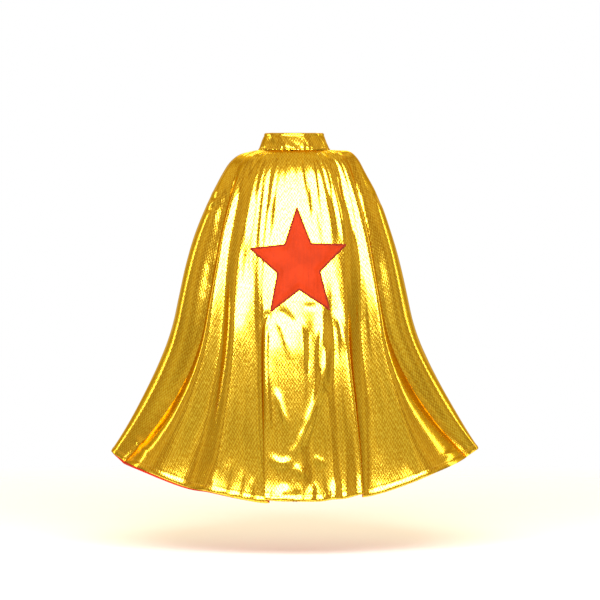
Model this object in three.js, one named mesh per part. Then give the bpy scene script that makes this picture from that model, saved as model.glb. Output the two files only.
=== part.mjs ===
// A child's superhero cape: gold shell, red lining, stand collar, star on the back.
// Millimetres, +Z up. The wearer faces +Y, so the star faces -Y and the wearer's left is -X.
// The origin is the middle of the neck opening, at the height of the neck seam.
import * as THREE from "three";

// ---- Driving dimensions -------------------------------------------------------------------------

const NECK_HALF_WIDTH = 71; // of the neck seam, an ellipse
const NECK_HALF_DEPTH = 59;

const BACK_LENGTH = 716; // from the neck seam to the hem, along the cloth
const SIDE_LENGTH = 692;
const FRONT_LENGTH = 650;

const COLLAR_HEIGHT = 34;
const COLLAR_LEAN = 12.5; // how far the collar's top edge is inside its seam
const COLLAR_END_DEG = 174; // where the collar ends, from the middle of the back
const TAPE_HALF_HEIGHT = 6;

const SHELL_THICKNESS = 1.2;
const LINING_THICKNESS = 0.8;
const COLLAR_CLOTH = 0.9;
const INTERLINING_THICKNESS = 0.6;
const TAPE_THICKNESS = 0.9;
const PAD_THICKNESS = 1.1;
const TAB_THICKNESS = 1.3;
const THREAD_THICKNESS = 0.5;
const PATCH_THICKNESS = 0.7;
const STABILISER_THICKNESS = 0.4;

const GAP = 0.35; // between pieces that lie on each other
const LINING_GAP = 0.8; // between the shell and its lining
const SEAM_GAP = 0.5; // between two panels' edges
const PATCH_GAP = 1.3; // between the shell's facets and what is sewn onto it

const STAR_RADIUS = 111; // centre to tip, up and down
const STAR_NARROWING = 0.885; // the folds under the star draw it in sideways
const STAR_INNER_SHARE = 0.44;
const STAR_CENTRE_X = 9;
const STAR_CENTRE_Z = -225;
const STAR_TILT_DEG = 2;
const STAR_BORDER_WIDTH = 4;
const STAR_STIFFNESS = 0.85; // the share of the folds' depth that the star takes away under it

const HEM_THREAD_HEIGHT = 12; // above the hem
const HEM_THREAD_GAP = 0.9; // between the lining's facets and the thread on them
const LINING_SHOWS = 5; // how far the lining hangs below the hem at the wearer's left

const TAB_ROOT_DEG = -166;
const TAB_TIP_DEG = -201;
const TAB_MARGIN = 6; // from the collar's edges to the tab's
const TAB_LOW = TAB_MARGIN;
const TAB_HIGH = COLLAR_HEIGHT - TAB_MARGIN;
const PAD_START_DEG = -187;

const LOOP_HALF_WIDTH = 22.5; // of the hanger loop
const LOOP_DEPTH = 33;
const LOOP_CORD = 3;
const LOOP_CORNER = 7;
const TACK_MARGIN = 1; // past the cord on each side
const TACK_SIZE = [LOOP_CORD + 2 * TACK_MARGIN, 1.2, 3];
const TACK_BOTTOM = 1; // above the neck seam

const LABEL_SIZE = [26, 0.5, 38];
const LABEL_DEG = 50;
const LABEL_CLEARANCE = 1.2; // to the tape's own curve and lean, so that the label can flip up

// How the cloth falls from the neck seam to the hem: at each distance along it, in millimetres, its
// slope from the vertical, in degrees. The last ones are placed from the hem.
const LEFT_FALL = [
  [0, 80], [28, 77], [50, 50], [76, 31], [150, 25], [260, 17], [380, 11],
  [SIDE_LENGTH - 222, 21], [SIDE_LENGTH - 112, 27], [SIDE_LENGTH, 33],
];
const RIGHT_FALL = [
  [0, 88], [30, 86], [48, 50], [75, 28], [150, 24], [260, 15], [380, 12],
  [SIDE_LENGTH - 222, 24], [SIDE_LENGTH - 112, 29], [SIDE_LENGTH, 33],
];
const BACK_FALL = [
  [0, 64], [15, 56], [30, 38], [46, 23], [65, 17], [140, 14], [300, 13.5],
  [BACK_LENGTH - 316, 11], [BACK_LENGTH - 216, 8], [BACK_LENGTH - 126, 6],
  [BACK_LENGTH - 46, 11], [BACK_LENGTH, 17],
];
const FRONT_FALL = [
  [0, 60], [40, 50], [80, 30], [200, 16], [FRONT_LENGTH - 250, 12], [FRONT_LENGTH - 50, 16], [FRONT_LENGTH, 18],
];

// The lines that the folds follow, each as its angle from the middle of the back at the neck, at
// mid-height and at the hem, in degrees, and how far it stands out there at mid-height and at the hem.
const FRONT_LINES = [
  { neck: 173, mid: 146, hem: 122, outMid: 0, outHem: 0 },
  { neck: 150, mid: 128, hem: 112, outMid: 7, outHem: 12 },
  { neck: 126, mid: 108, hem: 102, outMid: -7, outHem: -10 },
  { neck: 102, mid: 88, hem: 92, outMid: 0, outHem: 0 },
  { neck: 83, mid: 68, hem: 83, outMid: 4, outHem: 4 },
];
const BACK_LINES = [
  { neck: -68, mid: -52, hem: -72, outMid: -17, outHem: -12 }, // left side seam
  { neck: -56, mid: -45, hem: -54, outMid: 6, outHem: 9 },
  { neck: -47, mid: -38, hem: -36, outMid: -6, outHem: -8 },
  { neck: -38, mid: -31, hem: -26, outMid: 6, outHem: 8 },
  { neck: -30, mid: -24, hem: -15, outMid: -2, outHem: -9 },
  { neck: -24, mid: -18, hem: -8.2, outMid: -1, outHem: -14 }, // tucked behind the middle's left edge
  { neck: -18, mid: -14, hem: -9, outMid: 4, outHem: 14 },
  { neck: -11, mid: -8, hem: -4, outMid: 2, outHem: 8 },
  { neck: -3, mid: 0, hem: 2, outMid: 2, outHem: 9 },
  { neck: 6, mid: 8, hem: 8, outMid: 0, outHem: 3 },
  { neck: 14, mid: 14, hem: 12, outMid: 3, outHem: 8 },
  { neck: 22, mid: 20, hem: 16, outMid: 1, outHem: 5 },
  { neck: 30, mid: 27, hem: 21, outMid: 6, outHem: 18 },
  { neck: 36, mid: 31, hem: 22.5, outMid: -4, outHem: -16 }, // tucked behind the middle's right edge
  { neck: 43, mid: 37, hem: 30, outMid: -11, outHem: -18 },
  { neck: 50, mid: 42, hem: 40, outMid: -2, outHem: -2 },
  { neck: 57, mid: 47, hem: 51, outMid: 7, outHem: 9 },
  { neck: 68, mid: 55, hem: 75, outMid: -17, outHem: -12 }, // right side seam
];

// ---- Resolution ---------------------------------------------------------------------------------

const STEPS_PER_LINE = 2;
const ROWS = 16;
const ROW_CROWDING = 1.45; // rows lie closer together at the shoulders
const COLLAR_STEPS = 44;
const FALL_STEPS = 240;
const NUDGE = 1e-3;

// ---- The cape's surface ---------------------------------------------------------------------------

const rad = THREE.MathUtils.degToRad;
const mix = THREE.MathUtils.lerp;

// The distance that the cloth has gone outwards and down at any share of its way to the hem.
class Fall {
  constructor(knots) {
    this.length = knots.at(-1)[0];
    this.out = [0];
    this.down = [0];
    const step = this.length / FALL_STEPS;
    for (let i = 0; i < FALL_STEPS; i++) {
      const slope = rad(Fall.slopeAt(knots, (i + 0.5) * step));
      this.out.push(this.out[i] + step * Math.sin(slope));
      this.down.push(this.down[i] + step * Math.cos(slope));
    }
  }

  static slopeAt(knots, distance) {
    const next = Math.max(1, knots.findIndex(([at]) => at >= distance));
    const [[from, before], [to, after]] = [knots[next - 1], knots[next]];
    return mix(before, after, (distance - from) / (to - from));
  }

  // A share above 1 goes on past the hem with the last slope.
  at(values, share) {
    const place = share * FALL_STEPS;
    const i = THREE.MathUtils.clamp(Math.floor(place), 0, FALL_STEPS - 1);
    return mix(values[i], values[i + 1], place - i);
  }

  outAt(share) {
    return this.at(this.out, share);
  }

  downAt(share) {
    return this.at(this.down, share);
  }
}

const falls = {
  left: new Fall(LEFT_FALL),
  right: new Fall(RIGHT_FALL),
  back: new Fall(BACK_FALL),
  front: new Fall(FRONT_FALL),
};

// The cape without its folds, at an angle from the middle of the back and a share of the way down:
// an ellipse at each height, wider and lower as the falls say.
function bare(angle, share) {
  const side = (1 + Math.sin(angle)) / 2;
  const rear = (1 + Math.cos(angle)) / 2;
  const halfWidth = NECK_HALF_WIDTH + mix(falls.left.outAt(share), falls.right.outAt(share), side);
  const halfDepth = NECK_HALF_DEPTH + mix(falls.front.outAt(share), falls.back.outAt(share), rear);
  const sideDown = mix(falls.left.downAt(share), falls.right.downAt(share), side);
  const lengthwise = Math.cos(angle) > 0 ? falls.back : falls.front;
  const down = mix(sideDown, lengthwise.downAt(share), Math.cos(angle) ** 2);
  return new THREE.Vector3(halfWidth * Math.sin(angle), -halfDepth * Math.cos(angle), -down);
}

// The direction out of a surface at (a, b), where a runs round the cape and b runs down it.
function outwards(surface, a, b, stepA) {
  const round = surface(a + stepA, b).sub(surface(a - stepA, b));
  const along = surface(a, b + NUDGE).sub(surface(a, Math.max(0, b - NUDGE)));
  return along.cross(round).normalize();
}

const mirrored = ({ neck, mid, hem, ...rest }) => ({ neck: -neck, mid: -mid, hem: -hem, ...rest });
const LINES = [...FRONT_LINES.map(mirrored), ...BACK_LINES, ...FRONT_LINES.toReversed()];
const LEFT_SEAM = FRONT_LINES.length;
const RIGHT_SEAM = LEFT_SEAM + BACK_LINES.length - 1;
const LAST_LINE = LINES.length - 1;
const MID_SHARE = 0.45;

// The curve through a value at the neck, at mid-height and at the hem.
function throughThree(neck, mid, hem, share) {
  const bend = ((mid - neck) / MID_SHARE - (hem - neck)) / (MID_SHARE - 1);
  return neck + share * (hem - neck + bend * (share - 1));
}

// A smooth value between the lines, through each line's own value.
function between(key, place) {
  const i = THREE.MathUtils.clamp(Math.floor(place), 0, LAST_LINE - 1);
  const value = (n) => LINES[THREE.MathUtils.clamp(n, 0, LAST_LINE)][key];
  const f = place - i;
  const [a, b, c, d] = [value(i - 1), value(i), value(i + 1), value(i + 2)];
  const [startSlope, endSlope] = [(c - a) / 2, (d - b) / 2];
  const rise = c - b;
  return b + f * startSlope + f * f * (3 * rise - 2 * startSlope - endSlope)
    + f * f * f * (startSlope + endSlope - 2 * rise);
}

// How much of the folds' depth is left at a point: the stiff star keeps the cloth under it flat.
function liveliness({ x, y, z }) {
  const reach = Math.hypot(x - STAR_CENTRE_X, z - STAR_CENTRE_Z) / STAR_RADIUS;
  return y > 0 ? 1 : 1 - STAR_STIFFNESS * (1 - THREE.MathUtils.smoothstep(reach, 0.7, 1.6));
}

// The cape with its folds, at a place counted in lines from the left front edge.
function folded(place, share) {
  const at = (key) => between(key, place);
  const angle = rad(throughThree(at("neck"), at("mid"), at("hem"), share));
  const out = throughThree(0, at("outMid"), at("outHem"), share);
  const point = bare(angle, share);
  return point.addScaledVector(outwards(bare, angle, share, NUDGE), out * liveliness(point));
}

// A point of a layer that lies a distance outside the shell's outer face, negative inside it.
function layered(place, share, offset) {
  const out = outwards(folded, place, share, 0.5 / STEPS_PER_LINE);
  return folded(place, share).addScaledVector(out, offset);
}

// ---- Solids -------------------------------------------------------------------------------------

function solid(points, triangles) {
  const geometry = new THREE.BufferGeometry();
  geometry.setAttribute("position", new THREE.Float32BufferAttribute(points.flatMap((p) => p.toArray()), 3));
  geometry.setIndex(triangles);
  geometry.computeVertexNormals();
  return geometry;
}

const range = (count) => Array.from({ length: count }, (_, i) => i);

// A closed sheet between two grids of points, rows from the top and columns to the wearer's right.
function sheet(outer, inner) {
  const rows = outer.length;
  const columns = outer[0].length;
  const inside = rows * columns;
  const at = (row, column) => row * columns + column;
  const triangles = [];
  const quad = (a, b, c, d) => triangles.push(a, b, c, a, c, d);
  for (const row of range(rows - 1)) {
    for (const column of range(columns - 1)) {
      const [a, b] = [at(row, column), at(row + 1, column)];
      quad(a, b, b + 1, a + 1);
      quad(inside + a, inside + a + 1, inside + b + 1, inside + b);
    }
  }
  const rim = [
    ...range(columns - 1).map((c) => at(0, c)),
    ...range(rows - 1).map((r) => at(r, columns - 1)),
    ...range(columns - 1).map((c) => at(rows - 1, columns - 1 - c)),
    ...range(rows - 1).map((r) => at(rows - 1 - r, 0)),
  ];
  rim.forEach((a, i) => {
    const b = rim[(i + 1) % rim.length];
    quad(a, b, inside + b, inside + a);
  });
  return solid([...outer.flat(), ...inner.flat()], triangles);
}

// A closed ring between four loops of points, in order round its section.
function ring(loops) {
  const count = loops[0].length;
  const triangles = [];
  loops.forEach((_, k) => {
    const [here, next] = [k * count, ((k + 1) % loops.length) * count];
    for (const i of range(count)) {
      const j = (i + 1) % count;
      triangles.push(here + i, next + i, next + j, here + i, next + j, here + j);
    }
  });
  return solid(loops.flat(), triangles);
}

// ---- Shell, lining and hem ------------------------------------------------------------------------

const PANELS = {
  left_front: [0, LEFT_SEAM],
  back: [LEFT_SEAM, RIGHT_SEAM],
  right_front: [RIGHT_SEAM, LAST_LINE],
};

const LINING_OUTER = -(SHELL_THICKNESS + LINING_GAP);
const LINING_INNER = LINING_OUTER - LINING_THICKNESS;

const shareAtRow = (row) => (row / ROWS) ** ROW_CROWDING;

// One layer of a panel. Its side edges keep half the seam gap, and share(row, place) places its rows.
function panelLayer([first, last], offset, rows, share) {
  const columns = (last - first) * STEPS_PER_LINE;
  return range(rows + 1).map((row) => range(columns + 1).map((column) => {
    const place = first + column / STEPS_PER_LINE;
    const down = share(row, place);
    const point = layered(place, down, offset);
    const inset = { 0: 1, [columns]: -1 }[column] ?? 0;
    const round = folded(place + NUDGE, down).sub(folded(place - NUDGE, down)).normalize();
    return point.addScaledVector(round, (inset * SEAM_GAP) / 2);
  }));
}

// The lining is cut level with the shell but hangs lower towards the wearer's left, where it shows.
function liningHem(place) {
  const towardsLeft = THREE.MathUtils.clamp((LEFT_SEAM + 4 - place) / 4, 0, 1);
  const side = THREE.MathUtils.clamp(place - LEFT_SEAM + 1, 0, 1);
  return 1 + (LINING_SHOWS * towardsLeft * side) / falls.left.length;
}

const shellPanel = (span) => sheet(
  panelLayer(span, 0, ROWS, shareAtRow),
  panelLayer(span, -SHELL_THICKNESS, ROWS, shareAtRow),
);

const liningPanel = (span) => {
  const share = (row, place) => shareAtRow(row) * liningHem(place);
  return sheet(
    panelLayer(span, LINING_OUTER, ROWS, share),
    panelLayer(span, LINING_INNER, ROWS, share),
  );
};

// The row of stitches that holds the hem, seen on the lining's side.
const hemThread = (span) => {
  const layer = (offset) => {
    const [above, hem] = panelLayer(span, offset, ROWS, (row) => shareAtRow(row)).slice(-2);
    const reach = (1 - shareAtRow(ROWS - 1)) * falls.back.length;
    return [HEM_THREAD_HEIGHT, HEM_THREAD_HEIGHT - 1].map((height) =>
      above.map((point, column) => point.clone().lerp(hem[column], 1 - height / reach)));
  };
  return sheet(layer(LINING_INNER - HEM_THREAD_GAP), layer(LINING_INNER - HEM_THREAD_GAP - THREAD_THICKNESS));
};

// ---- Collar and neck ------------------------------------------------------------------------------

// A point on the collar, at an angle and a height above the neck seam, a distance outside its cloth.
function onCollar(angle, height, offset) {
  const lean = (COLLAR_LEAN * height) / COLLAR_HEIGHT;
  const face = (a, h) => {
    const drawnIn = (COLLAR_LEAN * h) / COLLAR_HEIGHT;
    return new THREE.Vector3(
      (NECK_HALF_WIDTH - drawnIn) * Math.sin(a), -(NECK_HALF_DEPTH - drawnIn) * Math.cos(a), h + GAP);
  };
  const along = new THREE.Vector3(
    (NECK_HALF_WIDTH - lean) * Math.cos(angle), (NECK_HALF_DEPTH - lean) * Math.sin(angle), 0);
  const up = face(angle, height + 1).sub(face(angle, height));
  return face(angle, height).addScaledVector(along.cross(up).normalize(), offset);
}

// A closed band on the collar, between two angles and two heights. The offset of its inner face may
// change with the angle.
function band([startDeg, endDeg], [low, high], inner, thickness, steps = COLLAR_STEPS) {
  const innerAt = typeof inner === "function" ? inner : () => inner;
  const face = (extra) => [high, low].map((height) => range(steps + 1).map((i) => {
    const degrees = mix(startDeg, endDeg, i / steps);
    return onCollar(rad(degrees), height, innerAt(degrees) + extra);
  }));
  return sheet(face(thickness), face(0));
}

const ALL_ROUND = [-COLLAR_END_DEG, COLLAR_END_DEG];
const INTERLINING_INNER = -(COLLAR_CLOTH + GAP + INTERLINING_THICKNESS);
const FACING_INNER = INTERLINING_INNER - GAP - COLLAR_CLOTH;
const TAPE_INNER = FACING_INNER - GAP - TAPE_THICKNESS;

// The tab leaves the collar at its root and rises over the two pads.
const TAB_SEATED = GAP + PAD_THICKNESS + GAP + PAD_THICKNESS + GAP;
function tabInner(degrees) {
  const rise = THREE.MathUtils.smoothstep(TAB_ROOT_DEG - degrees, 2, TAB_ROOT_DEG - PAD_START_DEG - 1);
  return mix(GAP, TAB_SEATED, rise);
}

const closureTab = () => band([TAB_TIP_DEG, TAB_ROOT_DEG], [TAB_LOW, TAB_HIGH], tabInner, TAB_THICKNESS, 14);

const tabThread = () => band(
  [TAB_ROOT_DEG - 5, TAB_ROOT_DEG - 1.5], [TAB_LOW + 4, TAB_HIGH - 4],
  (degrees) => tabInner(degrees) + TAB_THICKNESS + GAP, THREAD_THICKNESS, 3);

const pad = (inner) => band(
  [TAB_TIP_DEG + 1, PAD_START_DEG], [TAB_LOW + 1, TAB_HIGH - 1], inner, PAD_THICKNESS, 6);

// ---- Star -----------------------------------------------------------------------------------------

// The place and share on the back that are seen at (x, z) from straight behind.
function seenAt(x, z) {
  let [place, share] = [(LEFT_SEAM + RIGHT_SEAM) / 2, -z / falls.back.length];
  for (const _ of range(12)) {
    const here = folded(place, share);
    const byPlace = folded(place + NUDGE, share).sub(here).divideScalar(NUDGE);
    const byShare = folded(place, share + NUDGE).sub(here).divideScalar(NUDGE);
    const [dx, dz] = [x - here.x, z - here.z];
    const scale = byPlace.x * byShare.z - byShare.x * byPlace.z;
    place += (dx * byShare.z - dz * byShare.x) / scale;
    share += (dz * byPlace.x - dx * byPlace.z) / scale;
  }
  return [place, share];
}

// A point of the star's outline, counted in tips and hollows from the top, at a scale of the whole.
function starPoint(index, scale) {
  const radius = STAR_RADIUS * scale * (index % 2 ? STAR_INNER_SHARE : 1);
  const angle = rad(STAR_TILT_DEG + 90 - 36 * index);
  return [STAR_NARROWING * radius * Math.cos(angle), radius * Math.sin(angle)];
}

// A point over the shell's own facets, a distance outside them.
function overFacets(place, share, offset) {
  const column = Math.floor(place * STEPS_PER_LINE);
  const row = Math.floor(ROWS * share ** (1 / ROW_CROWDING));
  const across = place * STEPS_PER_LINE - column;
  const down = (share - shareAtRow(row)) / (shareAtRow(row + 1) - shareAtRow(row));
  const corner = (c, r) => layered((column + c) / STEPS_PER_LINE, shareAtRow(row + r), offset);
  const [top, bottom] = [0, 1].map((r) => corner(0, r).lerp(corner(1, r), across));
  return top.lerp(bottom, down);
}

function onStar([x, z], offset) {
  return overFacets(...seenAt(STAR_CENTRE_X + x, STAR_CENTRE_Z + z), offset);
}

const STAR_CUTS = 7; // pieces that each of the star's ten edges and its radii are divided into

// A star-shaped sheet: ten triangles round the centre, each divided so that it follows the cloth.
function starSheet(scale, outer, inner) {
  const spots = [[0, 0]];
  const loops = [];
  for (const level of range(STAR_CUTS).map((n) => n + 1)) {
    const loop = [];
    for (const edge of range(10)) {
      const [a, b] = [starPoint(edge, scale), starPoint((edge + 1) % 10, scale)];
      for (const n of range(level)) {
        loop.push(spots.length);
        spots.push([0, 1].map((k) => (mix(a[k], b[k], n / level) * level) / STAR_CUTS));
      }
    }
    loops.push(loop);
  }
  const triangles = [];
  const lower = spots.length;
  const both = (a, b, c) => triangles.push(a, b, c, lower + a, lower + c, lower + b);
  loops.forEach((loop, n) => {
    const level = n + 1;
    const inside = n ? loops[n - 1] : [0];
    for (const edge of range(10)) {
      for (const i of range(level)) {
        const a = loop[edge * level + i];
        const b = loop[(edge * level + i + 1) % loop.length];
        const c = inside[(edge * (level - 1) + i) % inside.length];
        both(a, c, b);
        if (i < level - 1) both(b, c, inside[(edge * (level - 1) + i + 1) % inside.length]);
      }
    }
  });
  const rim = loops.at(-1);
  rim.forEach((a, i) => {
    const b = rim[(i + 1) % rim.length];
    triangles.push(a, b, lower + b, a, lower + b, lower + a);
  });
  return solid([...spots.map((s) => onStar(s, outer)), ...spots.map((s) => onStar(s, inner))], triangles);
}

const STABILISER_INNER = PATCH_GAP;
const STAR_INNER = STABILISER_INNER + STABILISER_THICKNESS + GAP;
const BORDER_INNER = STAR_INNER + PATCH_THICKNESS + 3 * GAP;

// Satin stitches round the star's edge: a flat ring, half on the star and half outside it.
function starBorder() {
  const [tip, hollow] = [starPoint(0, 1), starPoint(1, 1)];
  const edge = Math.hypot(tip[0] - hollow[0], tip[1] - hollow[1]);
  const edgeDistance = Math.abs(tip[0] * hollow[1] - tip[1] * hollow[0]) / edge;
  const widening = STAR_BORDER_WIDTH / 2 / edgeDistance;
  const loop = (scale, offset) => range(10).flatMap((i) => {
    const [a, b] = [starPoint(i, scale), starPoint((i + 1) % 10, scale)];
    return range(STAR_CUTS).map((n) => onStar([0, 1].map((k) => mix(a[k], b[k], n / STAR_CUTS)), offset));
  });
  const [low, high] = [BORDER_INNER, BORDER_INNER + THREAD_THICKNESS];
  return ring([loop(1 - widening, high), loop(1 - widening, low), loop(1 + widening, low),
    loop(1 + widening, high)]);
}

// ---- Hanger loop and care label -------------------------------------------------------------------

const TAPE_HALF_WIDTH = NECK_HALF_WIDTH + TAPE_INNER;
const TAPE_HALF_DEPTH = NECK_HALF_DEPTH + TAPE_INNER;
const LOOP_TOP = -1; // height of the ends that are sewn to the tape

// How far forward of the tape's middle the tape is at x.
const tapeY = (x) => -TAPE_HALF_DEPTH * Math.sqrt(1 - (x / TAPE_HALF_WIDTH) ** 2);
const LOOP_Y = tapeY(LOOP_HALF_WIDTH) + GAP + LOOP_CORD / 2;

// A cord bent into a U that hangs by its two ends.
function hangerLoop() {
  const legs = (halfWidth, bottom, corner) => {
    const outline = new THREE.Path();
    outline.moveTo(-halfWidth, LOOP_TOP);
    outline.absarc(corner - halfWidth, bottom + corner, corner, Math.PI, 1.5 * Math.PI, false);
    outline.absarc(halfWidth - corner, bottom + corner, corner, 1.5 * Math.PI, 2 * Math.PI, false);
    outline.lineTo(halfWidth, LOOP_TOP);
    return outline.getPoints(4);
  };
  const outside = legs(LOOP_HALF_WIDTH, LOOP_TOP - LOOP_DEPTH, LOOP_CORNER);
  const inside = legs(
    LOOP_HALF_WIDTH - LOOP_CORD, LOOP_TOP - LOOP_DEPTH + LOOP_CORD, LOOP_CORNER - LOOP_CORD);
  const shape = new THREE.Shape([...outside, ...inside.reverse()]);
  return new THREE.ExtrudeGeometry(shape, { depth: LOOP_CORD, bevelEnabled: false });
}

// ---- The object -----------------------------------------------------------------------------------

const finish = (color, roughness, metalness) =>
  new THREE.MeshStandardMaterial({ color, roughness, metalness });
const finishes = {
  gold: finish(0xd2aa14, 0.35, 0.9),
  lining: finish(0xb02818, 0.55, 0),
  satin: finish(0xf55a32, 0.45, 0),
  darkThread: finish(0x8c2814, 0.6, 0),
  goldThread: finish(0xb08a20, 0.6, 0),
  redThread: finish(0xa03020, 0.6, 0),
  white: finish(0xf0eee8, 0.8, 0),
  black: finish(0x1c1c1e, 0.9, 0),
};

const cape = new THREE.Group();

function add(name, geometry, material, parent = cape) {
  const mesh = new THREE.Mesh(geometry, finishes[material]);
  mesh.name = name;
  parent.add(mesh);
  return mesh;
}

for (const [panel, span] of Object.entries(PANELS)) {
  add(`${panel}_panel`, shellPanel(span), "gold");
  add(`${panel}_lining`, liningPanel(span), "lining");
  add(`${panel}_hem_stitching`, hemThread(span), "redThread");
}

add("collar_outer", band(ALL_ROUND, [0, COLLAR_HEIGHT], -COLLAR_CLOTH, COLLAR_CLOTH), "gold");
add("collar_interlining",
  band(ALL_ROUND, [1.5, COLLAR_HEIGHT - 1.5], INTERLINING_INNER, INTERLINING_THICKNESS), "white");
add("collar_facing", band(ALL_ROUND, [0, COLLAR_HEIGHT], FACING_INNER, COLLAR_CLOTH), "gold");
add("collar_stitching", band(ALL_ROUND, [2, 3], GAP, THREAD_THICKNESS), "goldThread");
add("neck_tape",
  band(ALL_ROUND, [-TAPE_HALF_HEIGHT, TAPE_HALF_HEIGHT], TAPE_INNER, TAPE_THICKNESS), "lining");

add("closure_tab", closureTab(), "gold");
add("tab_stitching", tabThread(), "goldThread");
add("hook_pad", pad(GAP), "black");
add("loop_pad", pad(GAP + PAD_THICKNESS + GAP), "black");

add("star_stabiliser",
  starSheet(1, STABILISER_INNER + STABILISER_THICKNESS, STABILISER_INNER), "white");
add("star_applique", starSheet(1, STAR_INNER + PATCH_THICKNESS, STAR_INNER), "satin");
add("star_border", starBorder(), "darkThread");

// The loop is drawn in the plane of x and z, and its cord's thickness runs along y.
const loop = add("hanger_loop", hangerLoop(), "lining");
loop.rotation.x = Math.PI / 2;
loop.position.y = LOOP_Y + LOOP_CORD / 2;

// Each tack lies on the tape above one end of the loop, where the tape already leans in.
for (const [side, sign] of [["left", -1], ["right", 1]]) {
  const tack = add(`hanger_tack_${side}`, new THREE.BoxGeometry(...TACK_SIZE), "redThread");
  const x = LOOP_HALF_WIDTH - LOOP_CORD / 2;
  const top = TACK_BOTTOM + TACK_SIZE[2];
  const tapeFace = tapeY(x + TACK_SIZE[0] / 2) + (COLLAR_LEAN * top) / COLLAR_HEIGHT;
  tack.position.set(sign * x, tapeFace + GAP + TACK_SIZE[1] / 2, top - TACK_SIZE[2] / 2);
}

// The label hangs from the tape to the wearer's right of the loop, square to the neck there.
const label = new THREE.Group();
const labelAngle = rad(LABEL_DEG);
const tapeCurve = (LABEL_SIZE[0] / 2) ** 2 / (2 * TAPE_HALF_DEPTH);
label.position.set(TAPE_HALF_WIDTH * Math.sin(labelAngle), -TAPE_HALF_DEPTH * Math.cos(labelAngle), LOOP_TOP);
label.rotation.z = Math.atan2(
  TAPE_HALF_DEPTH * Math.sin(labelAngle), TAPE_HALF_WIDTH * Math.cos(labelAngle));
cape.add(label);
const labelY = tapeCurve + LABEL_CLEARANCE + LABEL_SIZE[1] / 2;
add("care_label", new THREE.BoxGeometry(...LABEL_SIZE), "white", label)
  .position.set(0, labelY, -LABEL_SIZE[2] / 2);
add("label_stitching", new THREE.BoxGeometry(LABEL_SIZE[0] - 4, THREAD_THICKNESS, 1.2), "redThread", label)
  .position.set(0, labelY + LABEL_SIZE[1] / 2 + GAP + THREAD_THICKNESS / 2, -4);

export default cape;
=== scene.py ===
"""A child's superhero cape: gold shell, red lining, stand collar and a star on the back.

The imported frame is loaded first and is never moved. Each piece repeats the CAD's own formulas in
millimetres, adds the relief of sewn cloth, and goes into its mesh in metres. The wearer faces +Y, so
the star faces -Y and the wearer's left is -X.
"""

from __future__ import annotations

import logging
import math
from dataclasses import dataclass, field
from enum import Enum
from typing import Callable, Mapping, Sequence

import bpy
import numpy as np
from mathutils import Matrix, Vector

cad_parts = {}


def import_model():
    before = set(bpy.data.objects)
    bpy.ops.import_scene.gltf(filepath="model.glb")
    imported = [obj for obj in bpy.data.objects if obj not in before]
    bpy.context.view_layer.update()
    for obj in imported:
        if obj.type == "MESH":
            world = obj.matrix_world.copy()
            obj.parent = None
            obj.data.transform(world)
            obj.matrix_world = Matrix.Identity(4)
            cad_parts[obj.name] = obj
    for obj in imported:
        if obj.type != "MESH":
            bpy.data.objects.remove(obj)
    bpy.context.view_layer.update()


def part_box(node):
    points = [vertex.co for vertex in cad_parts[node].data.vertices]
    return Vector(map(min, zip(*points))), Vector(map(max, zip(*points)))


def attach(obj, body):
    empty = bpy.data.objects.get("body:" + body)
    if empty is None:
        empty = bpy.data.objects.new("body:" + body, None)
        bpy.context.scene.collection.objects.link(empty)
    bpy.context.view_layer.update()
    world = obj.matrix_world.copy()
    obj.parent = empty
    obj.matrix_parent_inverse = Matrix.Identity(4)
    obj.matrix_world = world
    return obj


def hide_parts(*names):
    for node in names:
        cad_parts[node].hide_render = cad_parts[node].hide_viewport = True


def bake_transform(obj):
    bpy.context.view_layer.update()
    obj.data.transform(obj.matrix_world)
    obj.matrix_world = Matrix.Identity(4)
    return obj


LOG = logging.getLogger("cape")
MM = 0.001
NUDGE = 1e-3
NEWTON_STEPS = 12
LINE_SPACING = 30.0  # between two fold lines at mid-height, in millimetres
CLOTH_LENGTH = 700.0  # from the neck seam to the hem, for the scale of the relief
Array = np.ndarray


# ---- Small sums ---------------------------------------------------------------------------------


def smoothstep(value: Array, low: float, high: float) -> Array:
    """A smooth rise from 0 at low to 1 at high."""
    t = np.clip((value - low) / (high - low), 0.0, 1.0)
    return t * t * (3 - 2 * t)


def mix(a: Array | float, b: Array | float, share: Array | float) -> Array:
    """The value a share of the way from a to b."""
    return a + (b - a) * share


def unit(vectors: Array) -> Array:
    """The vectors at length 1."""
    return vectors / np.maximum(np.linalg.norm(vectors, axis=-1, keepdims=True), 1e-12)


def bell(distance: Array, width: float) -> Array:
    """A bell curve: 1 at distance 0, and nearly 0 at twice its width."""
    return np.exp(-((distance / width) ** 2))


def cloth_noise(across: Array, along: Array, seed: int) -> Array:
    """Smooth noise from -1 to 1: hashed values on a unit lattice, joined by smoothsteps.

    Args:
        across: the first coordinate, in lattice cells.
        along: the second coordinate, in lattice cells.
        seed: which pattern.

    Returns:
        The noise at each pair of coordinates.
    """
    i, j = np.floor(across), np.floor(along)

    def corner(a: int, b: int) -> Array:
        """The lattice's value at the cell's corner (a, b)."""
        mixed = np.sin((i + a) * 127.1 + (j + b) * 311.7 + seed * 74.7) * 43758.5453
        return 2 * (mixed - np.floor(mixed)) - 1

    s, t = smoothstep(across - i, 0, 1), smoothstep(along - j, 0, 1)
    return mix(mix(corner(0, 0), corner(1, 0), s), mix(corner(0, 1), corner(1, 1), s), t)


def lengths_along(points: Array, axis: int) -> Array:
    """The distance walked over the points along an axis, from its start."""
    steps = np.linalg.norm(np.diff(points, axis=axis), axis=-1)
    start = np.zeros_like(np.take(steps, [0], axis=axis))
    return np.concatenate([start, np.cumsum(steps, axis=axis)], axis=axis)


# ---- Meshes from grids ----------------------------------------------------------------------------


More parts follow.
